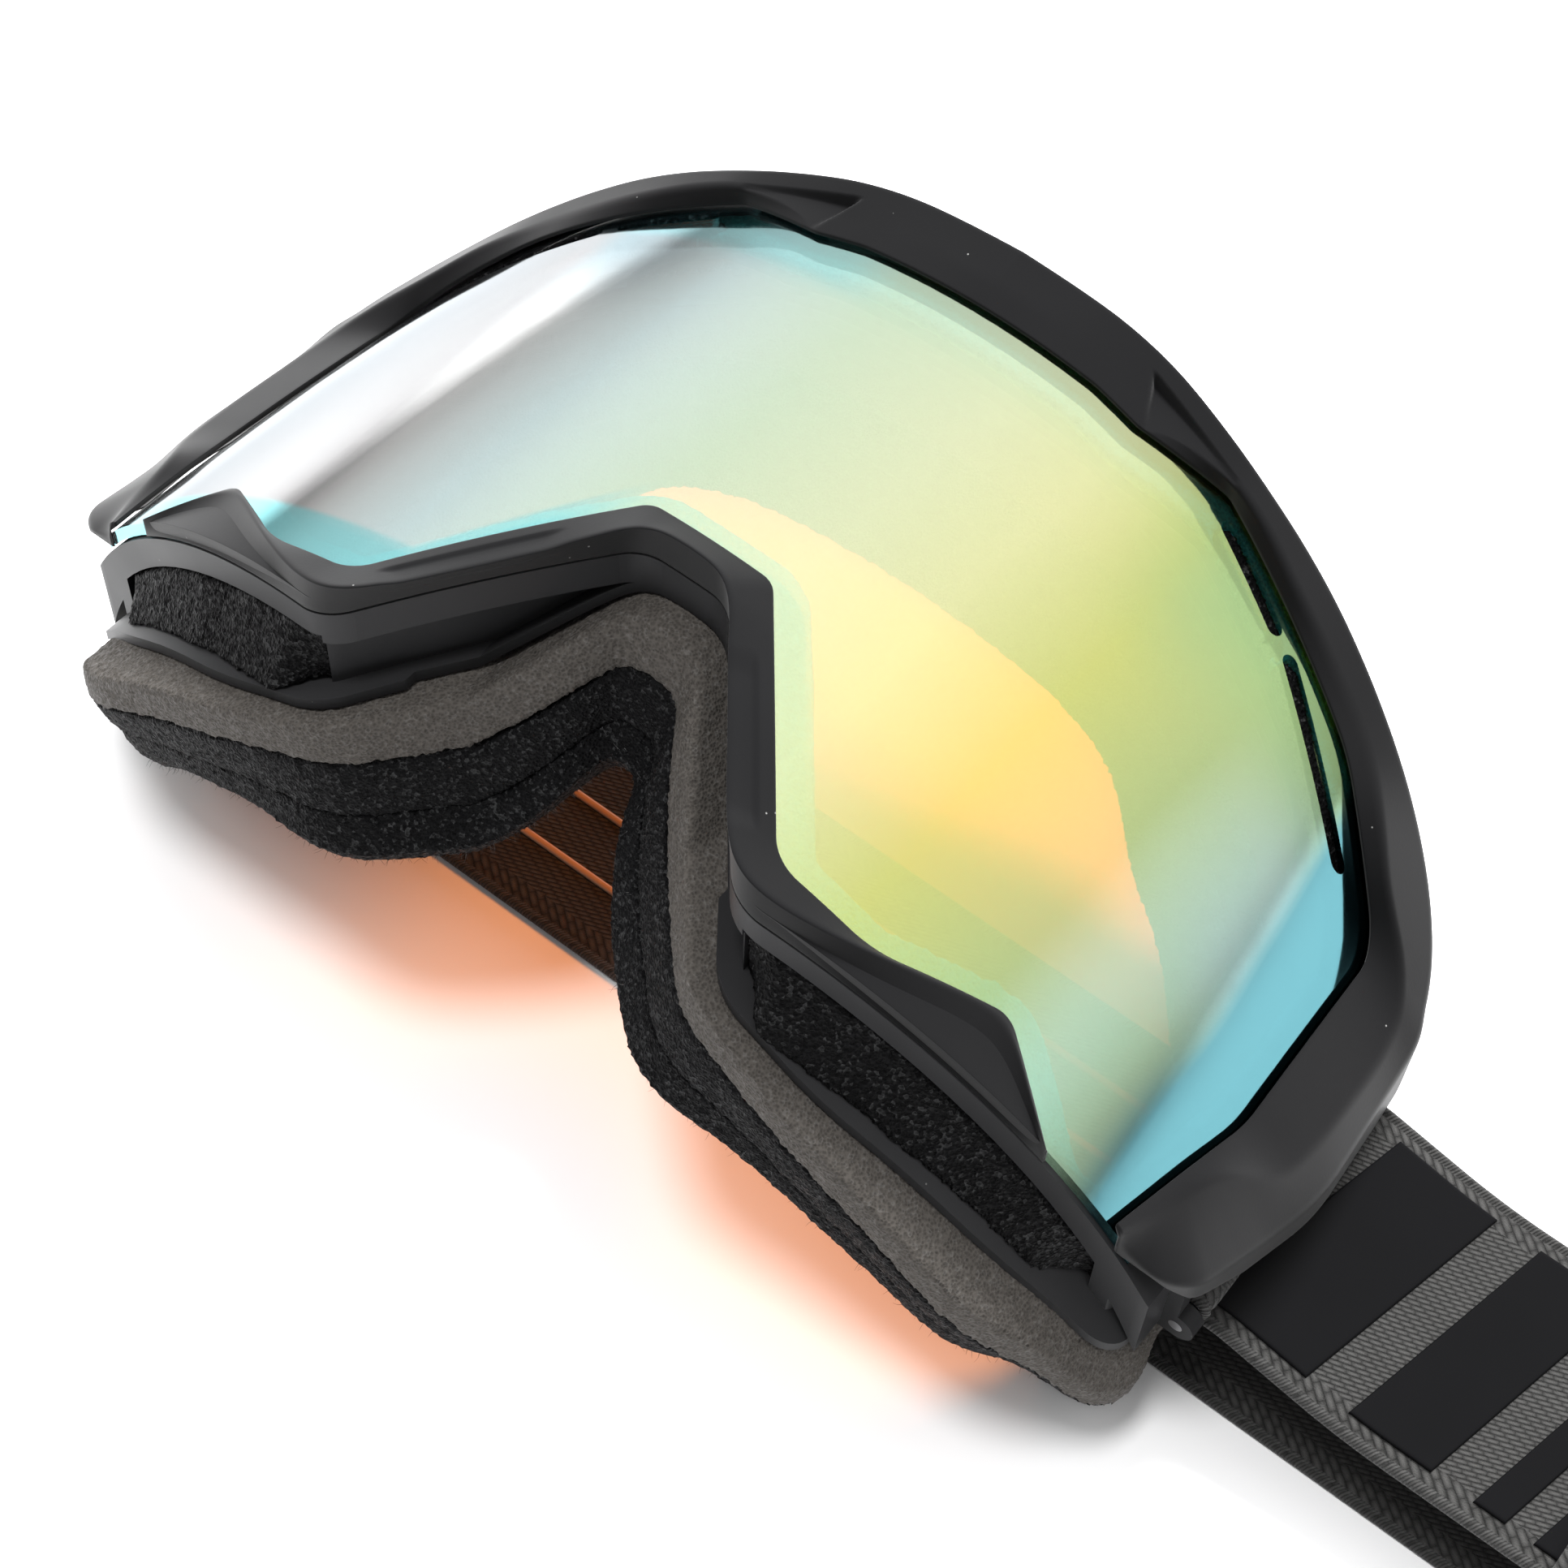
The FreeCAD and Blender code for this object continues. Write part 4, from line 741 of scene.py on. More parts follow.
# The nose cover's scoop: where along the ridge it comes in and goes out, how far out it reaches, its depth,
# and the share of the inner facet's width that it takes, with the share over which it ends.
SCOOP_IN, SCOOP_OUT, SCOOP_REACH, SCOOP_DEPTH = (28.5, 31.5), (-47.2, -44.5), 27.0, 0.40
SCOOP_WIDE, SCOOP_FADE = 0.66, 0.12


def lens_radius(y):
    """Radius of the lens about its axis: an arc of the bulge radius that leans towards the brow."""
    centre = -LENS_BULGE * math.sin(LENS_LEAN)
    return LENS_RADIUS - LENS_BULGE * math.cos(LENS_LEAN) + np.sqrt(LENS_BULGE ** 2 - (y - centre) ** 2)


def over_lens(x, y, rise):
    """Height of the surface that stands a rise out of the lens."""
    return AXIS + np.sqrt(np.clip((lens_radius(y) + rise) ** 2 - x ** 2, 0, None))


def outline(corners):
    """The right half of a mirror-symmetric outline of straight runs and round corners, from brow to nose."""
    places = [np.array(corner[:2]) for corner in corners]
    ring = [places[0] * MIRROR[:2], *places, places[-1] * MIRROR[:2]]
    pieces = [np.array([[0.0, places[0][1]]])]
    for before, corner, after, (_, _, radius) in zip(ring, places, ring[2:], corners):
        back, ahead = unit(before - corner), unit(after - corner)
        half_angle = math.acos(np.clip(back @ ahead, -1, 1)) / 2
        start = corner + back * radius / math.tan(half_angle)
        end = corner + ahead * radius / math.tan(half_angle)
        centre = corner + unit(back + ahead) * radius / math.sin(half_angle)
        first = math.atan2(*(start - centre)[::-1])
        turn = (math.atan2(*(end - centre)[::-1]) - first + math.pi) % (2 * math.pi) - math.pi
        angles = first + turn * np.linspace(0, 1, max(4, int(abs(turn) * radius / OUTLINE_STEP) + 1))
        pieces.append(centre + radius * np.column_stack([np.cos(angles), np.sin(angles)]))
    pieces.append(np.array([[0.0, places[-1][1]]]))
    return even(np.vstack(pieces), OUTLINE_STEP)


def smooth_rail(rows):
    """A rail through the given points, rounded off by repeated averaging of evenly spaced points."""
    rail = even(np.array(rows, float), STATION)
    for _ in range(int(SMOOTHING / STATION) ** 2):
        rail[1:-1] = 0.5 * rail[1:-1] + 0.25 * (rail[:-2] + rail[2:])
    return rail


def nearest_on(line, places, spread):
    """The places' nearest points on a line, with their order kept and their spacing evened out."""
    gap = ((line[None, :, :] - places[:, None, :]) ** 2).sum(2)
    index = np.argmin(gap, axis=1).astype(float)
    index = (np.maximum if index[-1] > index[0] else np.minimum).accumulate(index)
    index = np.clip(averaged(averaged(index, spread), spread // 2), 0, len(line) - 1)
    return np.column_stack([np.interp(index, np.arange(len(line)), column) for column in line.T])


def softened(rails):
    """Cross-sections with corners rounded off as quadratic curves, and points filled in along their sides.

    rails is stations x corners x 3. A corner P between neighbours A and B becomes the curve
    (1 - t)^2 A' + 2 t (1 - t) P + t^2 B', where A' and B' lie at most the corner's radius from P.
    """
    t = np.linspace(0, 1, 6)[None, :, None]
    curves = []
    for k, radius in enumerate(RAIL_RADII):
        point = rails[:, k]
        sides = []
        for other in (rails[:, k - 1], rails[:, (k + 1) % len(RAIL_RADII)]):
            way = other - point
            size = np.linalg.norm(way, axis=1)[:, None]
            near = point + way / np.maximum(size, 1e-9) * np.minimum(radius, 0.45 * size)
            sides.append(near[:, None])
        curves.append((1 - t) ** 2 * sides[0] + 2 * t * (1 - t) * point[:, None] + t ** 2 * sides[1])
    pieces = []
    for curve, following, count in zip(curves, curves[1:] + curves[:1], RAIL_POINTS):
        s = np.linspace(0, 1, count + 2)[1:-1][None, :, None]
        pieces += [curve, curve[:, -1:] * (1 - s) + following[:, :1] * s]
    return np.concatenate(pieces, axis=1)


def rise_of(x, y, z):
    """How far points stand out of the lens."""
    return np.hypot(x, z - AXIS) - lens_radius(y)


def with_pocket(points):
    """The points with a shallow three-sided pocket sunk beside the middle on both sides.

    Inside the two walls a point's rise over the lens becomes the smaller of itself and the floor's, a plane.
    """
    x, y, z = np.abs(points[..., 0]), points[..., 1], points[..., 2]
    tip, far, near = np.array(POCKET)
    slope = np.linalg.solve(np.column_stack([np.array(POCKET)[:, :2], np.ones(3)]), np.array(POCKET)[:, 2])
    floor = slope[0] * x + slope[1] * y + slope[2]
    inside = eased(far[0] + 1.0 - x, 0.0, 1.0)
    for end, side in ((far, -1.0), (near, 1.0)):
        way = unit((end - tip)[:2])
        inside = inside * eased(side * (way[0] * (y - tip[1]) - way[1] * (x - tip[0])), 0.0, POCKET_WALL)
    rise = rise_of(x, y, z)
    sunk = rise + inside * (np.minimum(rise, floor) - rise)
    made = points.copy()
    made[..., 2] = np.where((rise > 0.5) & (inside > 0), over_lens(x, y, sunk), z)
    return made


def with_scoop(points, ridge, inner):
    """The points with a long shallow scoop beside the ridge on each flank of the nose."""
    away = np.linalg.norm(points[..., :2] - ridge[:, None, :2], axis=2)
    width = np.linalg.norm(inner - ridge[:, :2], axis=1)[:, None]
    flank = eased(-ridge[:, 1], *SCOOP_IN) * eased(ridge[:, 1], *SCOOP_OUT)
    flank = (flank * (np.abs(ridge[:, 0]) < SCOOP_REACH))[:, None]
    outside = rise_of(points[..., 0], points[..., 1], points[..., 2]) > 0.8
    made = points.copy()
    made[..., 2] -= SCOOP_DEPTH * flank * eased(SCOOP_WIDE - away / width, 0.0, SCOOP_FADE) * outside
    return made


def cover_shell(name, node_name, finish, ridge_rows, brow):
    """A cover as a roof over rails: the opening's edge, the ridge, the shoulder, and the rim with its skirt.

    The right half's cross-sections are built station by station along the ridge, softened, then
    mirrored. The brow cover has a hem, a measured shoulder and the pocket, the nose cover the scoop.
    """
    ridge = smooth_rail(ridge_rows)
    inner = nearest_on(outline(OPENING), ridge[:, :2], INNER_SPREAD)
    outer = nearest_on(outline(RIM), ridge[:, :2], OUTER_SPREAD)
    x, y = outer.T
    for k in range(2):
        gentle = averaged(averaged(outer[:, k], BROW_SPREAD), BROW_SPREAD)
        outer[:, k] += (gentle - outer[:, k]) * eased(y, 8.0, 16.0)
    inner[0, 0] = outer[0, 0] = 0.0
    top = np.column_stack([ridge[:, :2], over_lens(*ridge.T)])
    low = over_lens(x, y, -SKIRT_DROP)
    if brow:
        low = np.maximum(low, np.interp(y, *np.array(BROW_HEM).T))
    foot = np.column_stack([outer, low])
    skirt = outer + SKIRT_WIDTH * unit(inner - outer)
    roof = np.maximum(over_lens(*skirt.T, LENS_CLEAR), low + ROOF_GAP)
    if brow:
        rows = np.array(BROW_SHOULDER)
        turn = np.arctan2(rows[:, 0], rows[:, 1] + SHOULDER_PIVOT)
        height = np.interp(np.arctan2(x, y + SHOULDER_PIVOT), turn, rows[:, 2])
        height = np.maximum(averaged(height, SHOULDER_SPREAD), low + SHOULDER_GAP)
        shoulder = np.column_stack([outer, height])
        temple = (x > TEMPLE_PLACE[0]) & (y < TEMPLE_PLACE[1])
        roof = np.maximum(roof, np.where(temple, TEMPLE_ROOF, 0.0))
    else:
        shoulder = top + NOSE_SHOULDER * (foot - top)
    lip = [np.column_stack([inner, over_lens(*inner.T, rise)]) for rise in (LENS_CLEAR, LIP)]
    hem = [np.column_stack([skirt, height]) for height in (low, roof)]
    points = softened(np.stack([*lip, top, shoulder, foot, *hem], axis=1))
    under = points[:, -RAIL_POINTS[-1]:]
    under[..., 2] = np.maximum(under[..., 2], over_lens(under[..., 0], under[..., 1], UNDER_CLEAR))
    points = with_pocket(points) if brow else with_scoop(points, ridge, inner)
    whole = np.concatenate([points[::-1], points[1:] * MIRROR], axis=0)
    faces = tube_faces(*whole.shape[:2])
    if not brow:
        faces = [face[::-1] for face in faces]
    seat(add_piece(name, whole * MM, faces), finish, node_name)


# ---------------------------------------------------------------- line and section of the strap

# Places of the strap in millimetres: bars that the webbing turns round, and its runs.
ANCHOR = (88.6, 22.6)
ANCHOR_TURN = 1.9
RING_FIRST, RING_SECOND = (153.0, 17.0), (161.2, 17.0)
RING_TURN = 2.65
SLIDER_BAR = (192.0, 19.5)
SLIDER_TURN = 1.95
FLOOR_RUN = 0.75
UNDER_RUN = 14.35
OVER_RUN = 19.65
TAIL_RUN = 21.45
OVER_END = 180.2
FOLD_X = 231.25
STRAP_MIDDLE = -12.5
# Corners of the short webbing's run off the temple: x, z and radius.
TEMPLE_RUN = ((ANCHOR[0], ANCHOR[1] - ANCHOR_TURN, 0), (ANCHOR[0] + 4.5, ANCHOR[1] - ANCHOR_TURN, 12.0),
              (112.0, 16.25, 60.0), (145.0, 16.4, 0))
SHORT_TAIL = ((146.0, 18.3), (141.0, 18.1))
RUN_STEP = 0.8
# Section of the webbing, in widths of its edge cord: half the finely divided strip, the valley beside the
# cord, how soon the body rises out of it, and the margin; then the body's height as a share of the whole.
EDGE_STRIP, VALLEY, SWELL, MARGIN, BODY_SHARE = 1.1, 0.72, 0.25, 3.2, 0.44


def joined(*lines):
    """Lines in millimetres joined to one in metres, with its points evenly apart."""
    return even(np.vstack(lines) * MM, RUN_STEP * MM)


def short_line():
    """The short webbing's middle line: round the anchor pin, off the temple, round the ring's first bar."""
    return joined(round_arc(ANCHOR, ANCHOR_TURN, -50, 270), arc_path(TEMPLE_RUN, RUN_STEP),
                  round_arc(RING_FIRST, RING_TURN, 215, 505), SHORT_TAIL)


def long_line():
    """The long webbing's middle line: round the left pin, along the floor, round the fold and second bar."""
    x = -ANCHOR[0] - ANCHOR_TURN
    run = arc_path([(x, ANCHOR[1], 0), (x, FLOOR_RUN, 4.0), (FOLD_X, FLOOR_RUN, 6.6),
                    (FOLD_X, UNDER_RUN, 6.6), (RING_SECOND[0], UNDER_RUN, 0)], RUN_STEP)
    return joined(round_arc((-ANCHOR[0], ANCHOR[1]), ANCHOR_TURN, 235, -180), run,
                  round_arc(RING_SECOND, RING_TURN, 270, 90), [(OVER_END, OVER_RUN)])


def tail_line():
    """The sliding tail's middle line: along the top, then round the slider's middle bar."""
    return joined([(RING_SECOND[0] + 1.0, TAIL_RUN)], round_arc(SLIDER_BAR, SLIDER_TURN, 90, -215))


def webbing_profile(width, thick, cord):
    """Across a webbing: place, half height and edge mask of a flat body between two round cords.

    The height is the larger of a circle at each edge and a body that rises from a valley beside it.
    """
    half, strip = width / 2, EDGE_STRIP * cord
    inner = np.linspace(2 * strip - half, half - 2 * strip, 22)
    bend = np.cos(np.linspace(math.pi, 0, 17)) * strip
    places = np.concatenate([strip - half + bend[:-1], inner, half - strip + bend[1:]])
    depth = half - np.abs(places)
    circle = np.sqrt(np.clip((cord / 2) ** 2 - (depth - cord / 2) ** 2, 0, None)) * thick / cord
    body = BODY_SHARE * thick * (1 - np.exp(-np.clip(depth - VALLEY * cord, 0, None) / (SWELL * cord)))
    height = np.maximum(circle, body)
    height[[0, -1]] = 0.0
    edge = np.where(depth < cord, 1.0, np.where(depth < MARGIN * cord, 0.5, 0.0))
    return places, height, edge


def webbing(name, node_name, line, cloth, finish, body):
    """A webbing carried along a line of (x, z) points in metres, with its width along Y.

    Point (i, j) is the line's point i, moved along Y by the profile's place j and along the line's
    normal by its height. The far side of the profile comes back underneath.
    """
    places, height, edge = webbing_profile(cloth.width, cloth.thickness, cloth.cord)
    across = np.concatenate([places, places[-2:0:-1]])
    rise = np.concatenate([height, -height[-2:0:-1]])
    way = unit(np.gradient(line, axis=0))
    rows, columns = len(line), len(across)
    points = np.empty((rows, columns, 3))
    points[..., 0] = line[:, :1] - way[:, 1:] * rise
    points[..., 1] = STRAP_MIDDLE * MM + across
    points[..., 2] = line[:, 1:] + way[:, :1] * rise
    piece = add_piece(name, points, tube_faces(rows, columns))
    mark(piece.data, "edge", np.tile(np.concatenate([edge, edge[-2:0:-1]]), rows))

    u = travelled(line)
    v = np.concatenate([[0], np.cumsum(np.abs(np.diff(np.append(across, across[0]))) + 1e-7)])
    i, j = np.indices((rows - 1, columns))
    sides = np.stack([u[i], v[j], u[i], v[j + 1], u[i + 1], v[j + 1], u[i + 1], v[j]], axis=2)
    ends = [np.column_stack([np.full(columns, place), way])
            for place, way in ((u[0], v[-2::-1]), (u[-1], v[:-1]))]
    corners = np.vstack([sides.reshape(-1, 2), *ends]).astype(np.float32)
    piece.data.uv_layers.new(name="cloth").data.foreach_set("uv", corners.ravel())
    seat(piece, finish, node_name, body)


# ---------------------------------------------------------------- operators

FLOOR_HALF = 2.5
DOME_TONE = (1.0, 0.998, 0.995, 1)
GLOW_WAY = (0.0, 0.64, 0.77)
# Each lamp's name, place, the height that it points at, and its size.
LAMPS = (("key_lamp", (-0.06, 0.57, 1.07), 0.05, 0.36), ("top_lamp", (-0.04, -0.24, 1.16), 0.05, 0.26),
         ("edge_lamp", (-0.95, -0.25, 0.45), 0.04, 0.50))
EDGE_SHARE = 0.06
CAMERA_PLACE = (0.1329, -0.18955, 0.3797)
# The camera's right, up and back, as rows.
CAMERA_AXES = ((0.7888, 0.6138, 0.0318), (-0.5318, 0.6558, 0.5358), (0.3081, -0.4396, 0.8437))


def settings_of(context, name):
    """One of the property groups of the scene."""
    return getattr(context.scene, "goggles_" + name)


class GOGGLES_OT_stage(bpy.types.Operator):
    """Makes the floor, the light and the camera."""
    bl_idname = "goggles.stage"
    bl_label = "Stage"

    def execute(self, context):
        stage = settings_of(context, "stage")
        scene = context.scene
        corners = [(-1, -1, 0), (1, -1, 0), (1, 1, 0), (-1, 1, 0)]
        floor = add_piece("floor", np.array(corners) * FLOOR_HALF, [(0, 1, 2, 3)])
        paint = material("floor_paint", {"Base Color": rgba(stage.floor), "Roughness": 0.75,
                                         "Specular IOR Level": 0.2})[0]
        floor.data.materials.append(paint)

        world = bpy.data.worlds.new("dome")
        world.use_nodes = True
        tree = world.node_tree
        place = new_node(tree, "TexCoord").outputs["Generated"]
        way = new_node(tree, "VectorMath", {0: place, 1: GLOW_WAY}, operation="DOT_PRODUCT")
        lobe = fade(tree, way.outputs["Value"], 0.0, 0.75)
        fill(tree, tree.nodes["Background"], {"Color": DOME_TONE,
                                              "Strength": linear(tree, lobe, stage.glow, stage.dome)})
        scene.world = world

        powers = (stage.key, stage.top, stage.key * EDGE_SHARE)
        for (label, place, aim, size), power in zip(LAMPS, powers):
            lamp = bpy.data.lights.new(label, "AREA")
            lamp.shape = "DISK"
            lamp.size = size
            lamp.energy = power
            obj = bpy.data.objects.new(label, lamp)
            obj.location = place
            obj.rotation_euler = (Vector(place) - Vector((0.0, 0.0, aim))).to_track_quat("Z", "Y").to_euler()
            obj.visible_glossy = False
            scene.collection.objects.link(obj)

        camera = bpy.data.cameras.new("camera")
        camera.lens = stage.lens
        camera.sensor_width = 36.0
        camera.clip_start = 0.01
        viewer = bpy.data.objects.new("camera", camera)
        turn = Matrix(CAMERA_AXES).transposed().to_4x4()
        viewer.matrix_world = Matrix.Translation(CAMERA_PLACE) @ turn
        scene.collection.objects.link(viewer)
        scene.camera = viewer
        scene.view_settings.view_transform = "Standard"
        return {"FINISHED"}


class GOGGLES_OT_lenses(bpy.types.Operator):
    """Coats the outer lens, tints the inner one and fills the gap between them with the gasket."""
    bl_idname = "goggles.lenses"
    bl_label = "Lenses"

    def execute(self, context):
        lens = settings_of(context, "lens")
        dress("outer_lens", self.coating(lens))
        dress("inner_lens", self.inner_tint(lens))
        foam = settings_of(context, "foam")
        # The gasket foam carries the teal of the coating's reflection: painted reflection.
        finish = foam_material("gasket_foam", foam.gasket, foam.cell, 0.5)
        foam_piece("gasket", "lens_gasket", finish, voxel=0.0008, rounds=2, rough=0.00004)
        return {"FINISHED"}

    def coating(self, lens):
        """The mirror: bands of colour from end to end, and other tones along the brow, nose and edges, which
        are partly the coating's tint and partly painted reflection.

        A fade across the lens takes the place from 0 at 100 mm left of the middle to 1 at 100 mm right
        of it, and one up or down it takes 0 at the middle and 1 at 50 mm from it.
        """
        made, tree, base, place = material("mirror_coating", {
            "Metallic": 1.0, "Roughness": 0.07, "Specular Tint": (0.45, 0.48, 0.50, 1)})
        x, y, _ = new_node(tree, "SeparateXYZ", {0: place}).outputs
        up, down, right = times(tree, y, 20.0), times(tree, y, -20.0), linear(tree, x, 5.0, 0.5)
        across = calc(tree, "ADD", right, linear(tree, noise(tree, place, 22.0, 1.0), 0.04, -0.02))
        edge = linear(tree, y, 0.5, across)
        bands = ((-45, lens.frost), (-30, lens.pale), (-10, lens.mint), (10, lens.straw),
                 (25, lens.lime), (40, lens.leaf), (55, lens.moss), (70, lens.aqua))
        # The bands paint the colour that the mirror shows at each place: partly the coating's tint, partly
        # painted reflection.
        tone = ramp(tree, across, [(0.5 + 0.005 * x_mm, value) for x_mm, value in bands], smooth="LINEAR")

        high = fade(tree, up, 0.10, 0.52)
        corner = times(tree, fade(tree, down, 0.10, 0.50), fade(tree, right, 0.79, 0.86))
        flank = linear(tree, y, -10.0, linear(tree, x, 14.6, 0.0357))
        flank = times(tree, fade(tree, flank, 0.0, 0.02), fade(tree, down, 0.22, 0.26))
        ring = calc(tree, "MAXIMUM", fade(tree, down, 0.755, 0.78), flank)
        ring = calc(tree, "MAXIMUM", ring, times(tree, fade(tree, up, 0.54, 0.60), 0.5))
        # These tones along the brow, corner, temple, rim and gasket are also partly the coating's tint and
        # partly painted reflection.
        for amount, value in (
                (times(tree, high, fade(tree, linear(tree, x, -5.0, 0.5), 0.65, 0.74)), lens.sky),
                (times(tree, high, fade(tree, right, 0.65, 0.74)), lens.fern),
                (corner, lens.lagoon),
                (fade(tree, edge, 0.235, 0.268, 1.0, 0.0), lens.temple),
                (fade(tree, edge, 0.846, 0.868), lens.rim),
                (times(tree, ring, fade(tree, across, 0.405, 0.455, 0.85, 0.0)), lens.ice)):
            tone = blend(tree, amount, tone, rgba(value))

        mirror = [(0.18, 0.88), (0.25, 0.72), (0.36, lens.mirror), (0.846, lens.mirror), (0.868, 0.84)]
        smudge = bump(tree, noise(tree, place, 90.0, 5.0), 0.05, 0.0001)
        fill(tree, base, {"Base Color": tone, "Alpha": ramp(tree, edge, mirror), "Normal": smudge})
        return made

    def inner_tint(self, lens):
        """The inner lens: a clear tint, a deeper one for camera rays only as painted shade over what the eye
        sees through it, and a little haze.
        """
        made, tree, base, place = material("inner_tint", {"Roughness": 0.12})
        # Camera rays get the deep tint: painted shade over what is seen through the lens.
        seen = new_node(tree, "LightPath").outputs["Is Camera Ray"]
        tint = blend(tree, seen, rgba(lens.tint), rgba(lens.deep))
        clear = new_node(tree, "BsdfTransparent", {"Color": tint})
        haze = blend(tree, noise(tree, place, 14.0, 2.0), shade(lens.tint, 0.85), rgba(lens.tint))
        fill(tree, base, {"Base Color": haze})
        mix = new_node(tree, "MixShader", {"Fac": lens.haze, 1: clear.outputs[0], 2: base.outputs[0]})
        fill(tree, tree.nodes["Material Output"], {"Surface": mix.outputs[0]})
        return made


class GOGGLES_OT_mouldings(bpy.types.Operator):
    """Finishes the frame, the covers, the pins and the buckles."""
    bl_idname = "goggles.mouldings"
    bl_label = "Covers, frame and buckles"

    def execute(self, context):
        mould = settings_of(context, "mould")
        cover = moulded("soft_touch", mould.cover, mould.cover_rough, mould.grain, 0.22, 0.45,
                        {"Sheen Weight": 0.08})
        cover_shell("brow_shell", "brow_cover", cover, BROW_RIDGE, brow=True)
        cover_shell("nose_shell", "nose_cover", cover, NOSE_RIDGE, brow=False)
        dress("frame_body", moulded("urethane", mould.frame, mould.frame_rough, mould.grain * 1.4, 0.16, 0.3))
        buckle = moulded("buckle_nylon", mould.buckle, 0.38, mould.grain * 2.0, 0.2, 0.2)
        pin = moulded("pin_steel", (0.30, 0.30, 0.31), 0.3, mould.grain * 1.2, 0.1, 0.0, {"Metallic": 1.0})
        for node_name, finish in (("strap_ring", buckle), ("strap_slider", buckle),
                                  ("anchor_pin_right", pin), ("anchor_pin_left", pin)):
            dress(node_name, finish)
        return {"FINISHED"}


# Loose fibres: the share of the layer's depth below which most of them grow, the lowest root and tip, the
# thickness, and how far out each ring of a fibre lies and how thick it is there.
FIBRE_START, ROOT_LEVEL, TIP_LEVEL, GIRTH = 0.78, 1.8 * MM, 0.3 * MM, 0.028 * MM
FIBRE_RINGS = ((-0.1, 1.0), (0.45, 0.8), (0.85, 0.45))


class GOGGLES_OT_face_foam(bpy.types.Operator):
    """Makes the three layers of the face foam and the loose fibres of the fleece."""
    bl_idname = "goggles.face_foam"
    bl_label = "Face foam"

    def execute(self, context):
        foam = settings_of(context, "foam")
        for name, node_name, tone, layer, slot_name, strength in (
                ("front_foam", "face_foam_base", foam.base, "base", "foam_base", 0.45),
                ("middle_foam", "face_foam_mid", foam.middle, "middle", "foam_mid", 0.9),
                ("fleece_foam", "face_foam_fleece", foam.fleece, "fleece", "foam_fleece", 1.0)):
            finish = foam_material(name + "_cells", tone, foam.cell, strength)
            piece = foam_piece(name, node_name, finish, foam.voxel, rounds=2, rough=0.00008,
                               crown=foam.crown, layer=LAYERS[layer])
        self.add_fibres(foam, piece.data)
        return {"FINISHED"}

    def add_fibres(self, foam, mesh):
        """Loose fibres: thin three-sided cones that lean out of the fleece near its back."""
        places, normals = vertex_places(mesh), vertex_normals(mesh)
        depth = read(mesh.attributes["depth"].data, "value", 1)[:, 0]
        weight = (1.0 * (depth > FIBRE_START) + 0.05 * (depth > 0.1)) * (places[:, 2] > ROOT_LEVEL)
        random = np.random.default_rng(SEED)
        chosen = random.choice(len(places), foam.fibres, p=weight / weight.sum())
        root, out = places[chosen], normals[chosen]
        lean = unit(out + random.normal(0, 0.55, out.shape))
        size = foam.fibre * random.uniform(0.45, 1.3, len(chosen))[:, None]
        side = unit(np.cross(lean, random.normal(0, 1, out.shape)))
        other = np.cross(lean, side)
        curl = random.normal(0, 0.25, (len(chosen), 2))
        bend = side * curl[:, :1] + other * curl[:, 1:]
        around = [side * math.cos(turn) + other * math.sin(turn) for turn in np.radians([0.0, 120.0, 240.0])]
        points = []
        for rise, girth in FIBRE_RINGS:
            middle = root + size * rise * (lean + bend * abs(rise))
            points += [middle + GIRTH * girth * way for way in around]
        tip = root + size * (lean + bend)
        tip[:, 2] = np.maximum(tip[:, 2], TIP_LEVEL)
        points = np.stack([*points, tip], axis=1)
        points[:, :, 2] = np.maximum(points[:, :, 2], FLOOR_GAP)
        sides = ((0, 1), (1, 2), (2, 0))
        shapes = [(n + k, n + m, n + 3 + m, n + 3 + k) for n in (0, 3) for k, m in sides]
        shapes += [(6 + k, 6 + m, 9) for k, m in sides] + [(2, 1, 0)]
        first = np.arange(len(chosen))[:, None] * points.shape[1]
        faces = [face for shape in shapes for face in (first + np.array(shape)).tolist()]
        made, tree, base, place = material("fleece_fibre", {"Roughness": 0.7, "Sheen Weight": 0.3})
        tone = blend(tree, noise(tree, place, 700.0, 1.0), shade(foam.fleece, 1.2), shade(foam.fleece, 5.0))
        fill(tree, base, {"Base Color": tone})
        seat(add_piece("fleece_fibres", points, faces), made, None)


# The vent in each cheek: height of its lower edge every 5 mm from the middle, its two ends, the height of the
# foam in it, how far the foam stands out at its top, and how much further at its foot.
CHEEK_X = tuple(range(35, 80, 5))
CHEEK_FOOT = (68.1, 65.5, 63.3, 59.9, 57.3, 53.1, 48.6, 43.5, 38.3)
CHEEK_ENDS, CHEEK_TALL, STAND_TOP, STAND_FOOT = (32.0, 78.5), 10.4, 0.8, 5.7


def swell(mesh):
    """Makes the cheek foam's outer face a slope that stands out at its foot, between the vent's ends."""
    places, normals = vertex_places(mesh), vertex_normals(mesh)
    reach = np.abs(places[:, 0]) / MM
    down = 1 - np.clip((places[:, 2] / MM - np.interp(reach, CHEEK_X, CHEEK_FOOT)) / CHEEK_TALL, 0, 1)
    between = eased(reach - CHEEK_ENDS[0], 0.0, 6.0) * eased(CHEEK_ENDS[1] - reach, 0.0, 6.0)
    amount = eased(-normals[:, 1], 0.0, 0.4) * between
    places[:, 1] -= amount * (STAND_TOP + STAND_FOOT * down) * MM
    places[:, 2] += amount * 0.5 * down * MM
    set_places(mesh, places)


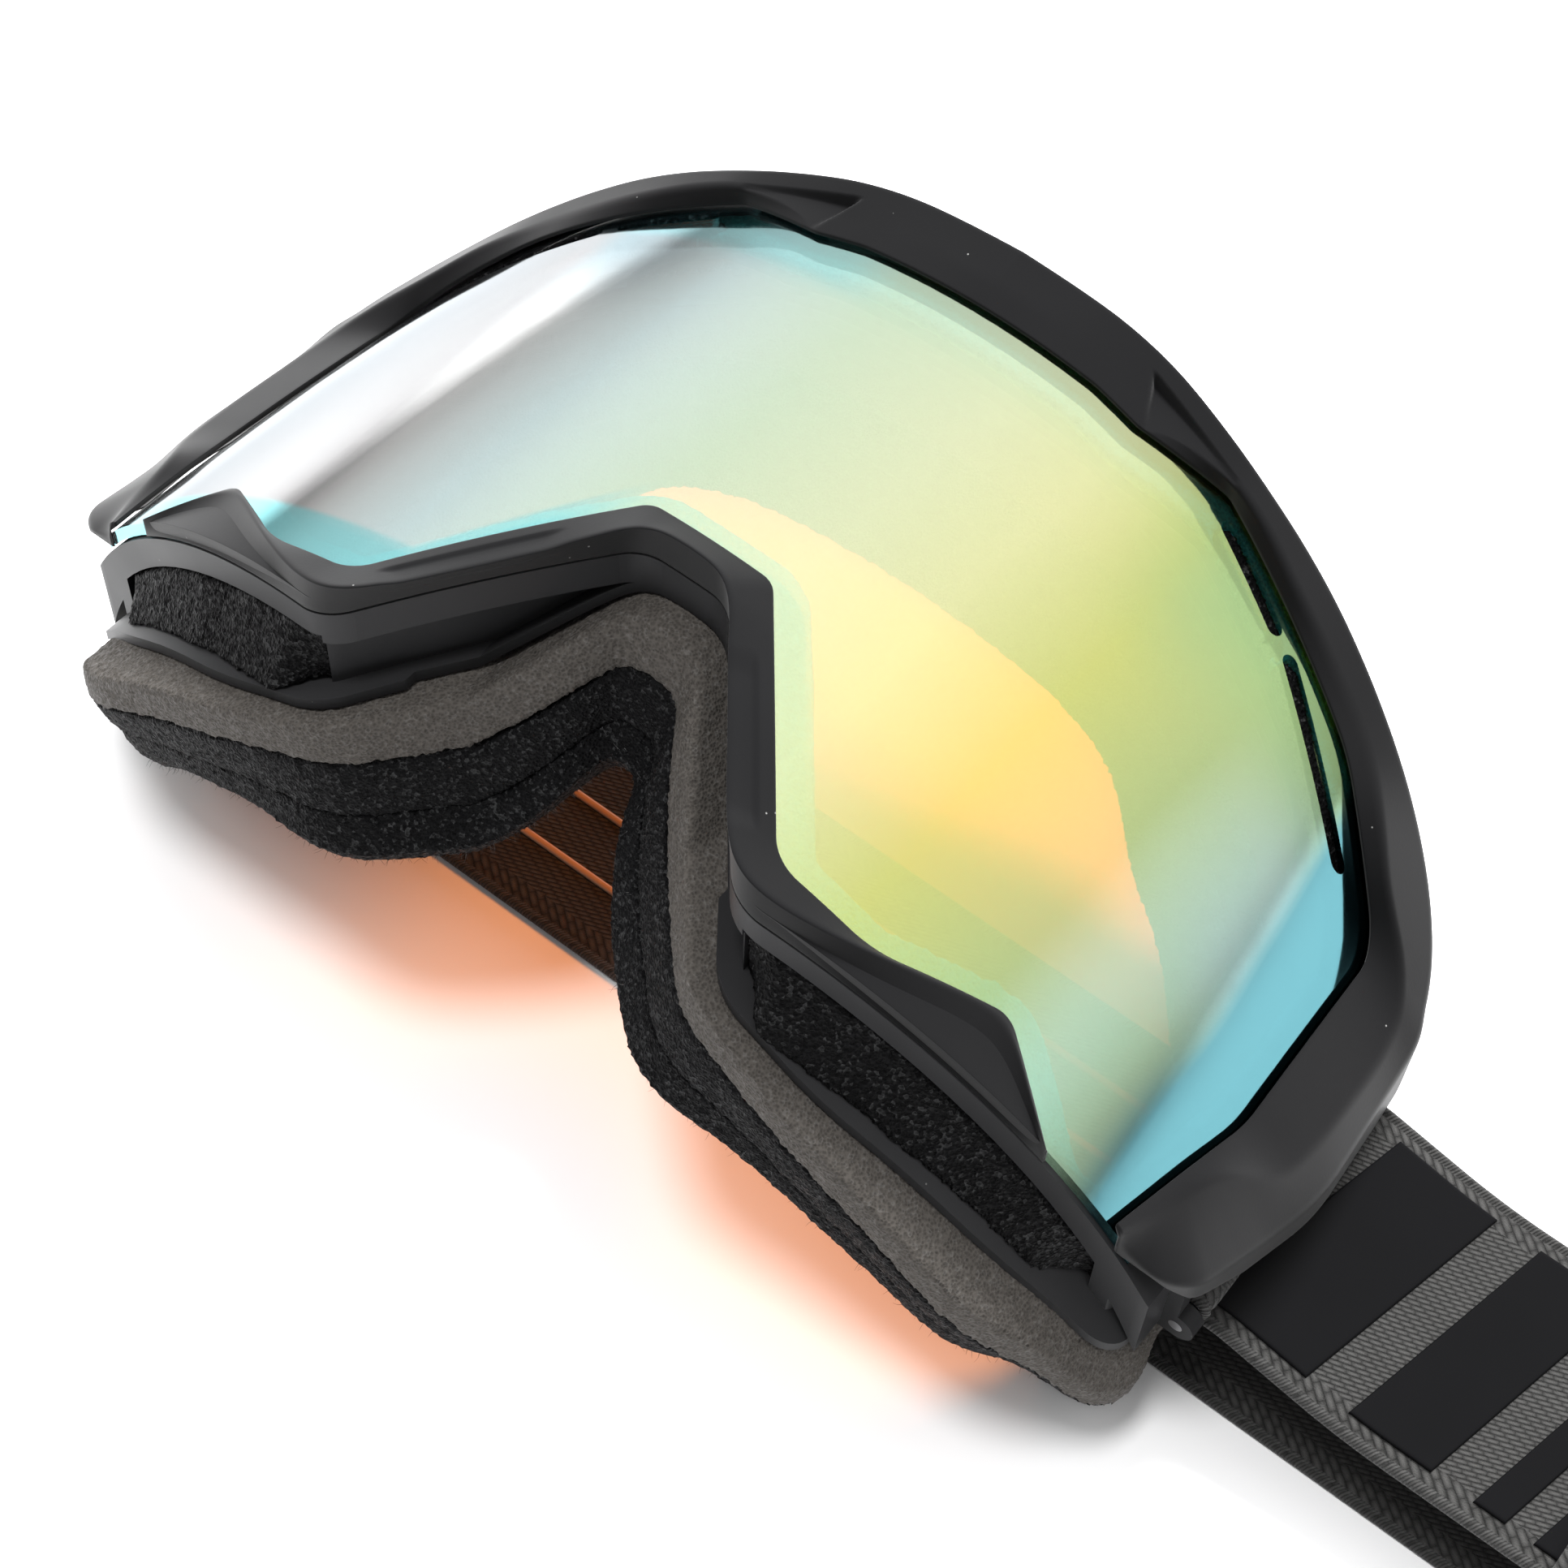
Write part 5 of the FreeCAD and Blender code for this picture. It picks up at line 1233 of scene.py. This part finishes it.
class GOGGLES_OT_vent_foam(bpy.types.Operator):
    """Makes the foam behind the cheek, brow and lens vents."""
    bl_idname = "goggles.vent_foam"
    bl_label = "Vent foam"

    def execute(self, context):
        foam = settings_of(context, "foam")
        dense = foam_material("cheek_vent_cells", foam.vent, foam.cell * 1.15, 1.0)
        # The brow vent foam is painted 18 times lighter than the other vent foams: painted light for the
        # light shining through it from behind, while its see-through cells let real light pass as well.
        thin = foam_material("brow_vent_cells", shade(foam.vent, 18.0), foam.cell * 1.3, 1.0, holes=True)
        for name, node_name, finish in (
                ("cheek_vent_right", "bottom_vent_foam_right", dense),
                ("cheek_vent_left", "bottom_vent_foam_left", dense),
                ("brow_vents", "brow_vent_foam", thin),
                ("lens_vent_right", "lens_vent_foam_right", dense),
                ("lens_vent_left", "lens_vent_foam_left", dense)):
            piece = foam_piece(name, node_name, finish, voxel=0.0004, rounds=1, rough=0.00010)
            if name.startswith("cheek"):
                swell(piece.data)
        return {"FINISHED"}


class GOGGLES_OT_webbing(bpy.types.Operator):
    """Makes the elastic webbing of the strap in three lengths."""
    bl_idname = "goggles.webbing"
    bl_label = "Webbing"

    def execute(self, context):
        cloth = settings_of(context, "webbing")
        finish = twill_material(cloth)
        webbing("short_webbing", "strap_short", short_line(), cloth, finish, GOGGLES)
        webbing("long_webbing", "strap_long", long_line(), cloth, finish, GOGGLES)
        webbing("tail_webbing", "strap_tail", tail_line(), cloth, finish, ADJUSTER)
        return {"FINISHED"}


# Beads in metres, then bars in millimetres: where each bar starts and its width, half its length, where its
# outline starts and how far it slants from end to end, its thickness at the rim's foot and how much more at
# the middle, the width of the rim, and where its back lies over the webbing's middle line.
BEADS, BEAD_HALF, BEAD_TAPER = 3, 0.0006, 0.0012
BARS = ((88.6, 15.4), (110.5, 12.0), (128.5, 4.5), (137.0, 4.5))
BAR_HALF, BAR_SHIFT, BAR_SLANT = 17.0, 0.675, 7.65
BAR_FOOT, BAR_THICK, BAR_RIM, BAR_BACK = 0.06, 0.40, 0.25, 0.74


class GOGGLES_OT_strap_trim(bpy.types.Operator):
    """Makes the clear beads on the webbing's inner face and the rubber bars on its outer one."""
    bl_idname = "goggles.strap_trim"
    bl_label = "Beads and rubber bars"

    def execute(self, context):
        cloth = settings_of(context, "webbing")
        self.add_beads(cloth)
        self.add_bars(cloth)
        return {"FINISHED"}

    def add_beads(self, cloth):
        """Half-round beads: a profile of half an ellipse carried along X, drawn in at both ends."""
        low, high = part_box("strap_grip_beads")
        along = np.linspace(low.x, high.x, 180)[:, None]
        taper = np.clip(BEAD_TAPER - np.minimum(along - low.x, high.x - along), 0, None) / BEAD_TAPER
        ends = np.sqrt(np.clip(1 - taper ** 2, 0.02, 1))
        turn = np.linspace(math.pi, 0, 9)
        points, faces = [], []
        for middle in np.linspace(low.y + BEAD_HALF, high.y - BEAD_HALF, BEADS):
            y = middle + BEAD_HALF * np.cos(turn) * ends
            z = low.z + (high.z - low.z) * np.sin(turn) * ends
            first = len(points) * y.size
            points.append(np.stack([np.broadcast_to(along, y.shape), y, z], axis=2))
            faces += [[first + n for n in face] for face in tube_faces(*y.shape)]
        made, tree, base, place = material("silicone_bead", {"Roughness": 0.18})
        # The bright orange of the clear beads is painted light for the glow that they carry.
        dull, clear = shade(cloth.silicone, 0.9), shade(cloth.silicone, 1.05)
        fill(tree, base, {"Base Color": blend(tree, noise(tree, place, 300.0, 2.0), dull, clear)})
        seat(add_piece("grip_beads", np.array(points), faces), made, "strap_grip_beads")

    def add_bars(self, cloth):
        """Rubber bars: slanted outlines laid on the webbing's outer face, thin at the rim.

        A bar's point (s, t) lies at share s of its width and share t of its length; the rim falls away
        as a quarter of an ellipse.
        """
        line = arc_path(TEMPLE_RUN, 0.5) * MM
        rim = np.array([0.0, 0.006, 0.02, 0.05])
        s = np.concatenate([rim, np.linspace(0.1, 0.9, 9), 1 - rim[::-1]])
        t = np.concatenate([rim * 0.35, np.linspace(0.04, 0.96, 24), 1 - rim[::-1] * 0.35])
        s, t = np.meshgrid(s, t, indexing="ij")
        rows, columns = s.shape
        top = grid_quads(rows, columns, False)[:, (0, 3, 2, 1)]
        ring = np.concatenate([np.arange(columns), np.arange(1, rows) * columns + columns - 1,
                               (rows - 1) * columns + np.arange(columns - 2, -1, -1),
                               np.arange(rows - 2, 0, -1) * columns])
        after = np.roll(ring, -1)
        side = np.stack([ring, after, after + s.size, ring + s.size], axis=1)
        quads = np.vstack([top, top[:, ::-1] + s.size, side])
        points, faces = [], []
        for start, wide in BARS:
            x = (start + wide * s + BAR_SHIFT + BAR_SLANT * t) * MM
            y = (STRAP_MIDDLE + BAR_HALF * (2 * t - 1)) * MM
            edge = np.minimum(np.minimum(s, 1 - s) * wide, np.minimum(t, 1 - t) * 2 * BAR_HALF)
            rise = BAR_THICK * np.sqrt(1 - (1 - np.minimum(edge / BAR_RIM, 1.0)) ** 2)
            back = np.interp(x, line[:, 0], line[:, 1]) + BAR_BACK * MM
            faces += (quads + len(points) * s.size).tolist()
            face = back + (BAR_FOOT + rise) * MM
            points += [np.stack([x, y, z], axis=2) for z in (face, back)]
        rubber = moulded("printed_rubber", cloth.rubber, 0.55, 0.0003, 0.25, 0.6)
        seat(add_piece("rubber_bars", np.array(points), faces), rubber, "strap_patches")


class GOGGLES_PT_sidebar(bpy.types.Panel):
    """Lists the pieces and their settings in the sidebar."""
    bl_idname = "GOGGLES_PT_sidebar"
    bl_label = "Ski Goggles"
    bl_space_type = "VIEW_3D"
    bl_region_type = "UI"
    bl_category = "Goggles"

    def draw(self, context):
        layout = self.layout
        for operator in OPERATORS:
            layout.operator(operator.bl_idname)
        for name in SETTINGS:
            box = layout.box()
            held = settings_of(context, name)
            for key in held.__annotations__:
                box.prop(held, key)


OPERATORS = (GOGGLES_OT_stage, GOGGLES_OT_lenses, GOGGLES_OT_mouldings, GOGGLES_OT_face_foam,
             GOGGLES_OT_vent_foam, GOGGLES_OT_webbing, GOGGLES_OT_strap_trim)
SETTINGS = {"lens": LensSettings, "mould": MouldSettings, "foam": FoamSettings, "webbing": WebbingSettings,
            "stage": StageSettings}


def register():
    """Registers the classes and gives the scene its settings."""
    for kind in SETTINGS.values():
        bpy.utils.register_class(kind)
    for name, kind in SETTINGS.items():
        setattr(bpy.types.Scene, "goggles_" + name, PointerProperty(type=kind))
    for kind in OPERATORS:
        bpy.utils.register_class(kind)
    bpy.utils.register_class(GOGGLES_PT_sidebar)


def unregister():
    """Takes back what register added."""
    bpy.utils.unregister_class(GOGGLES_PT_sidebar)
    for kind in reversed(OPERATORS):
        bpy.utils.unregister_class(kind)
    for name, kind in SETTINGS.items():
        delattr(bpy.types.Scene, "goggles_" + name)
        bpy.utils.unregister_class(kind)


def main():
    """Makes every piece in order."""
    register()
    bpy.ops.goggles.stage()
    bpy.ops.goggles.lenses()
    bpy.ops.goggles.mouldings()
    bpy.ops.goggles.face_foam()
    bpy.ops.goggles.vent_foam()
    bpy.ops.goggles.webbing()
    bpy.ops.goggles.strap_trim()


if __name__ == "__main__":
    main()
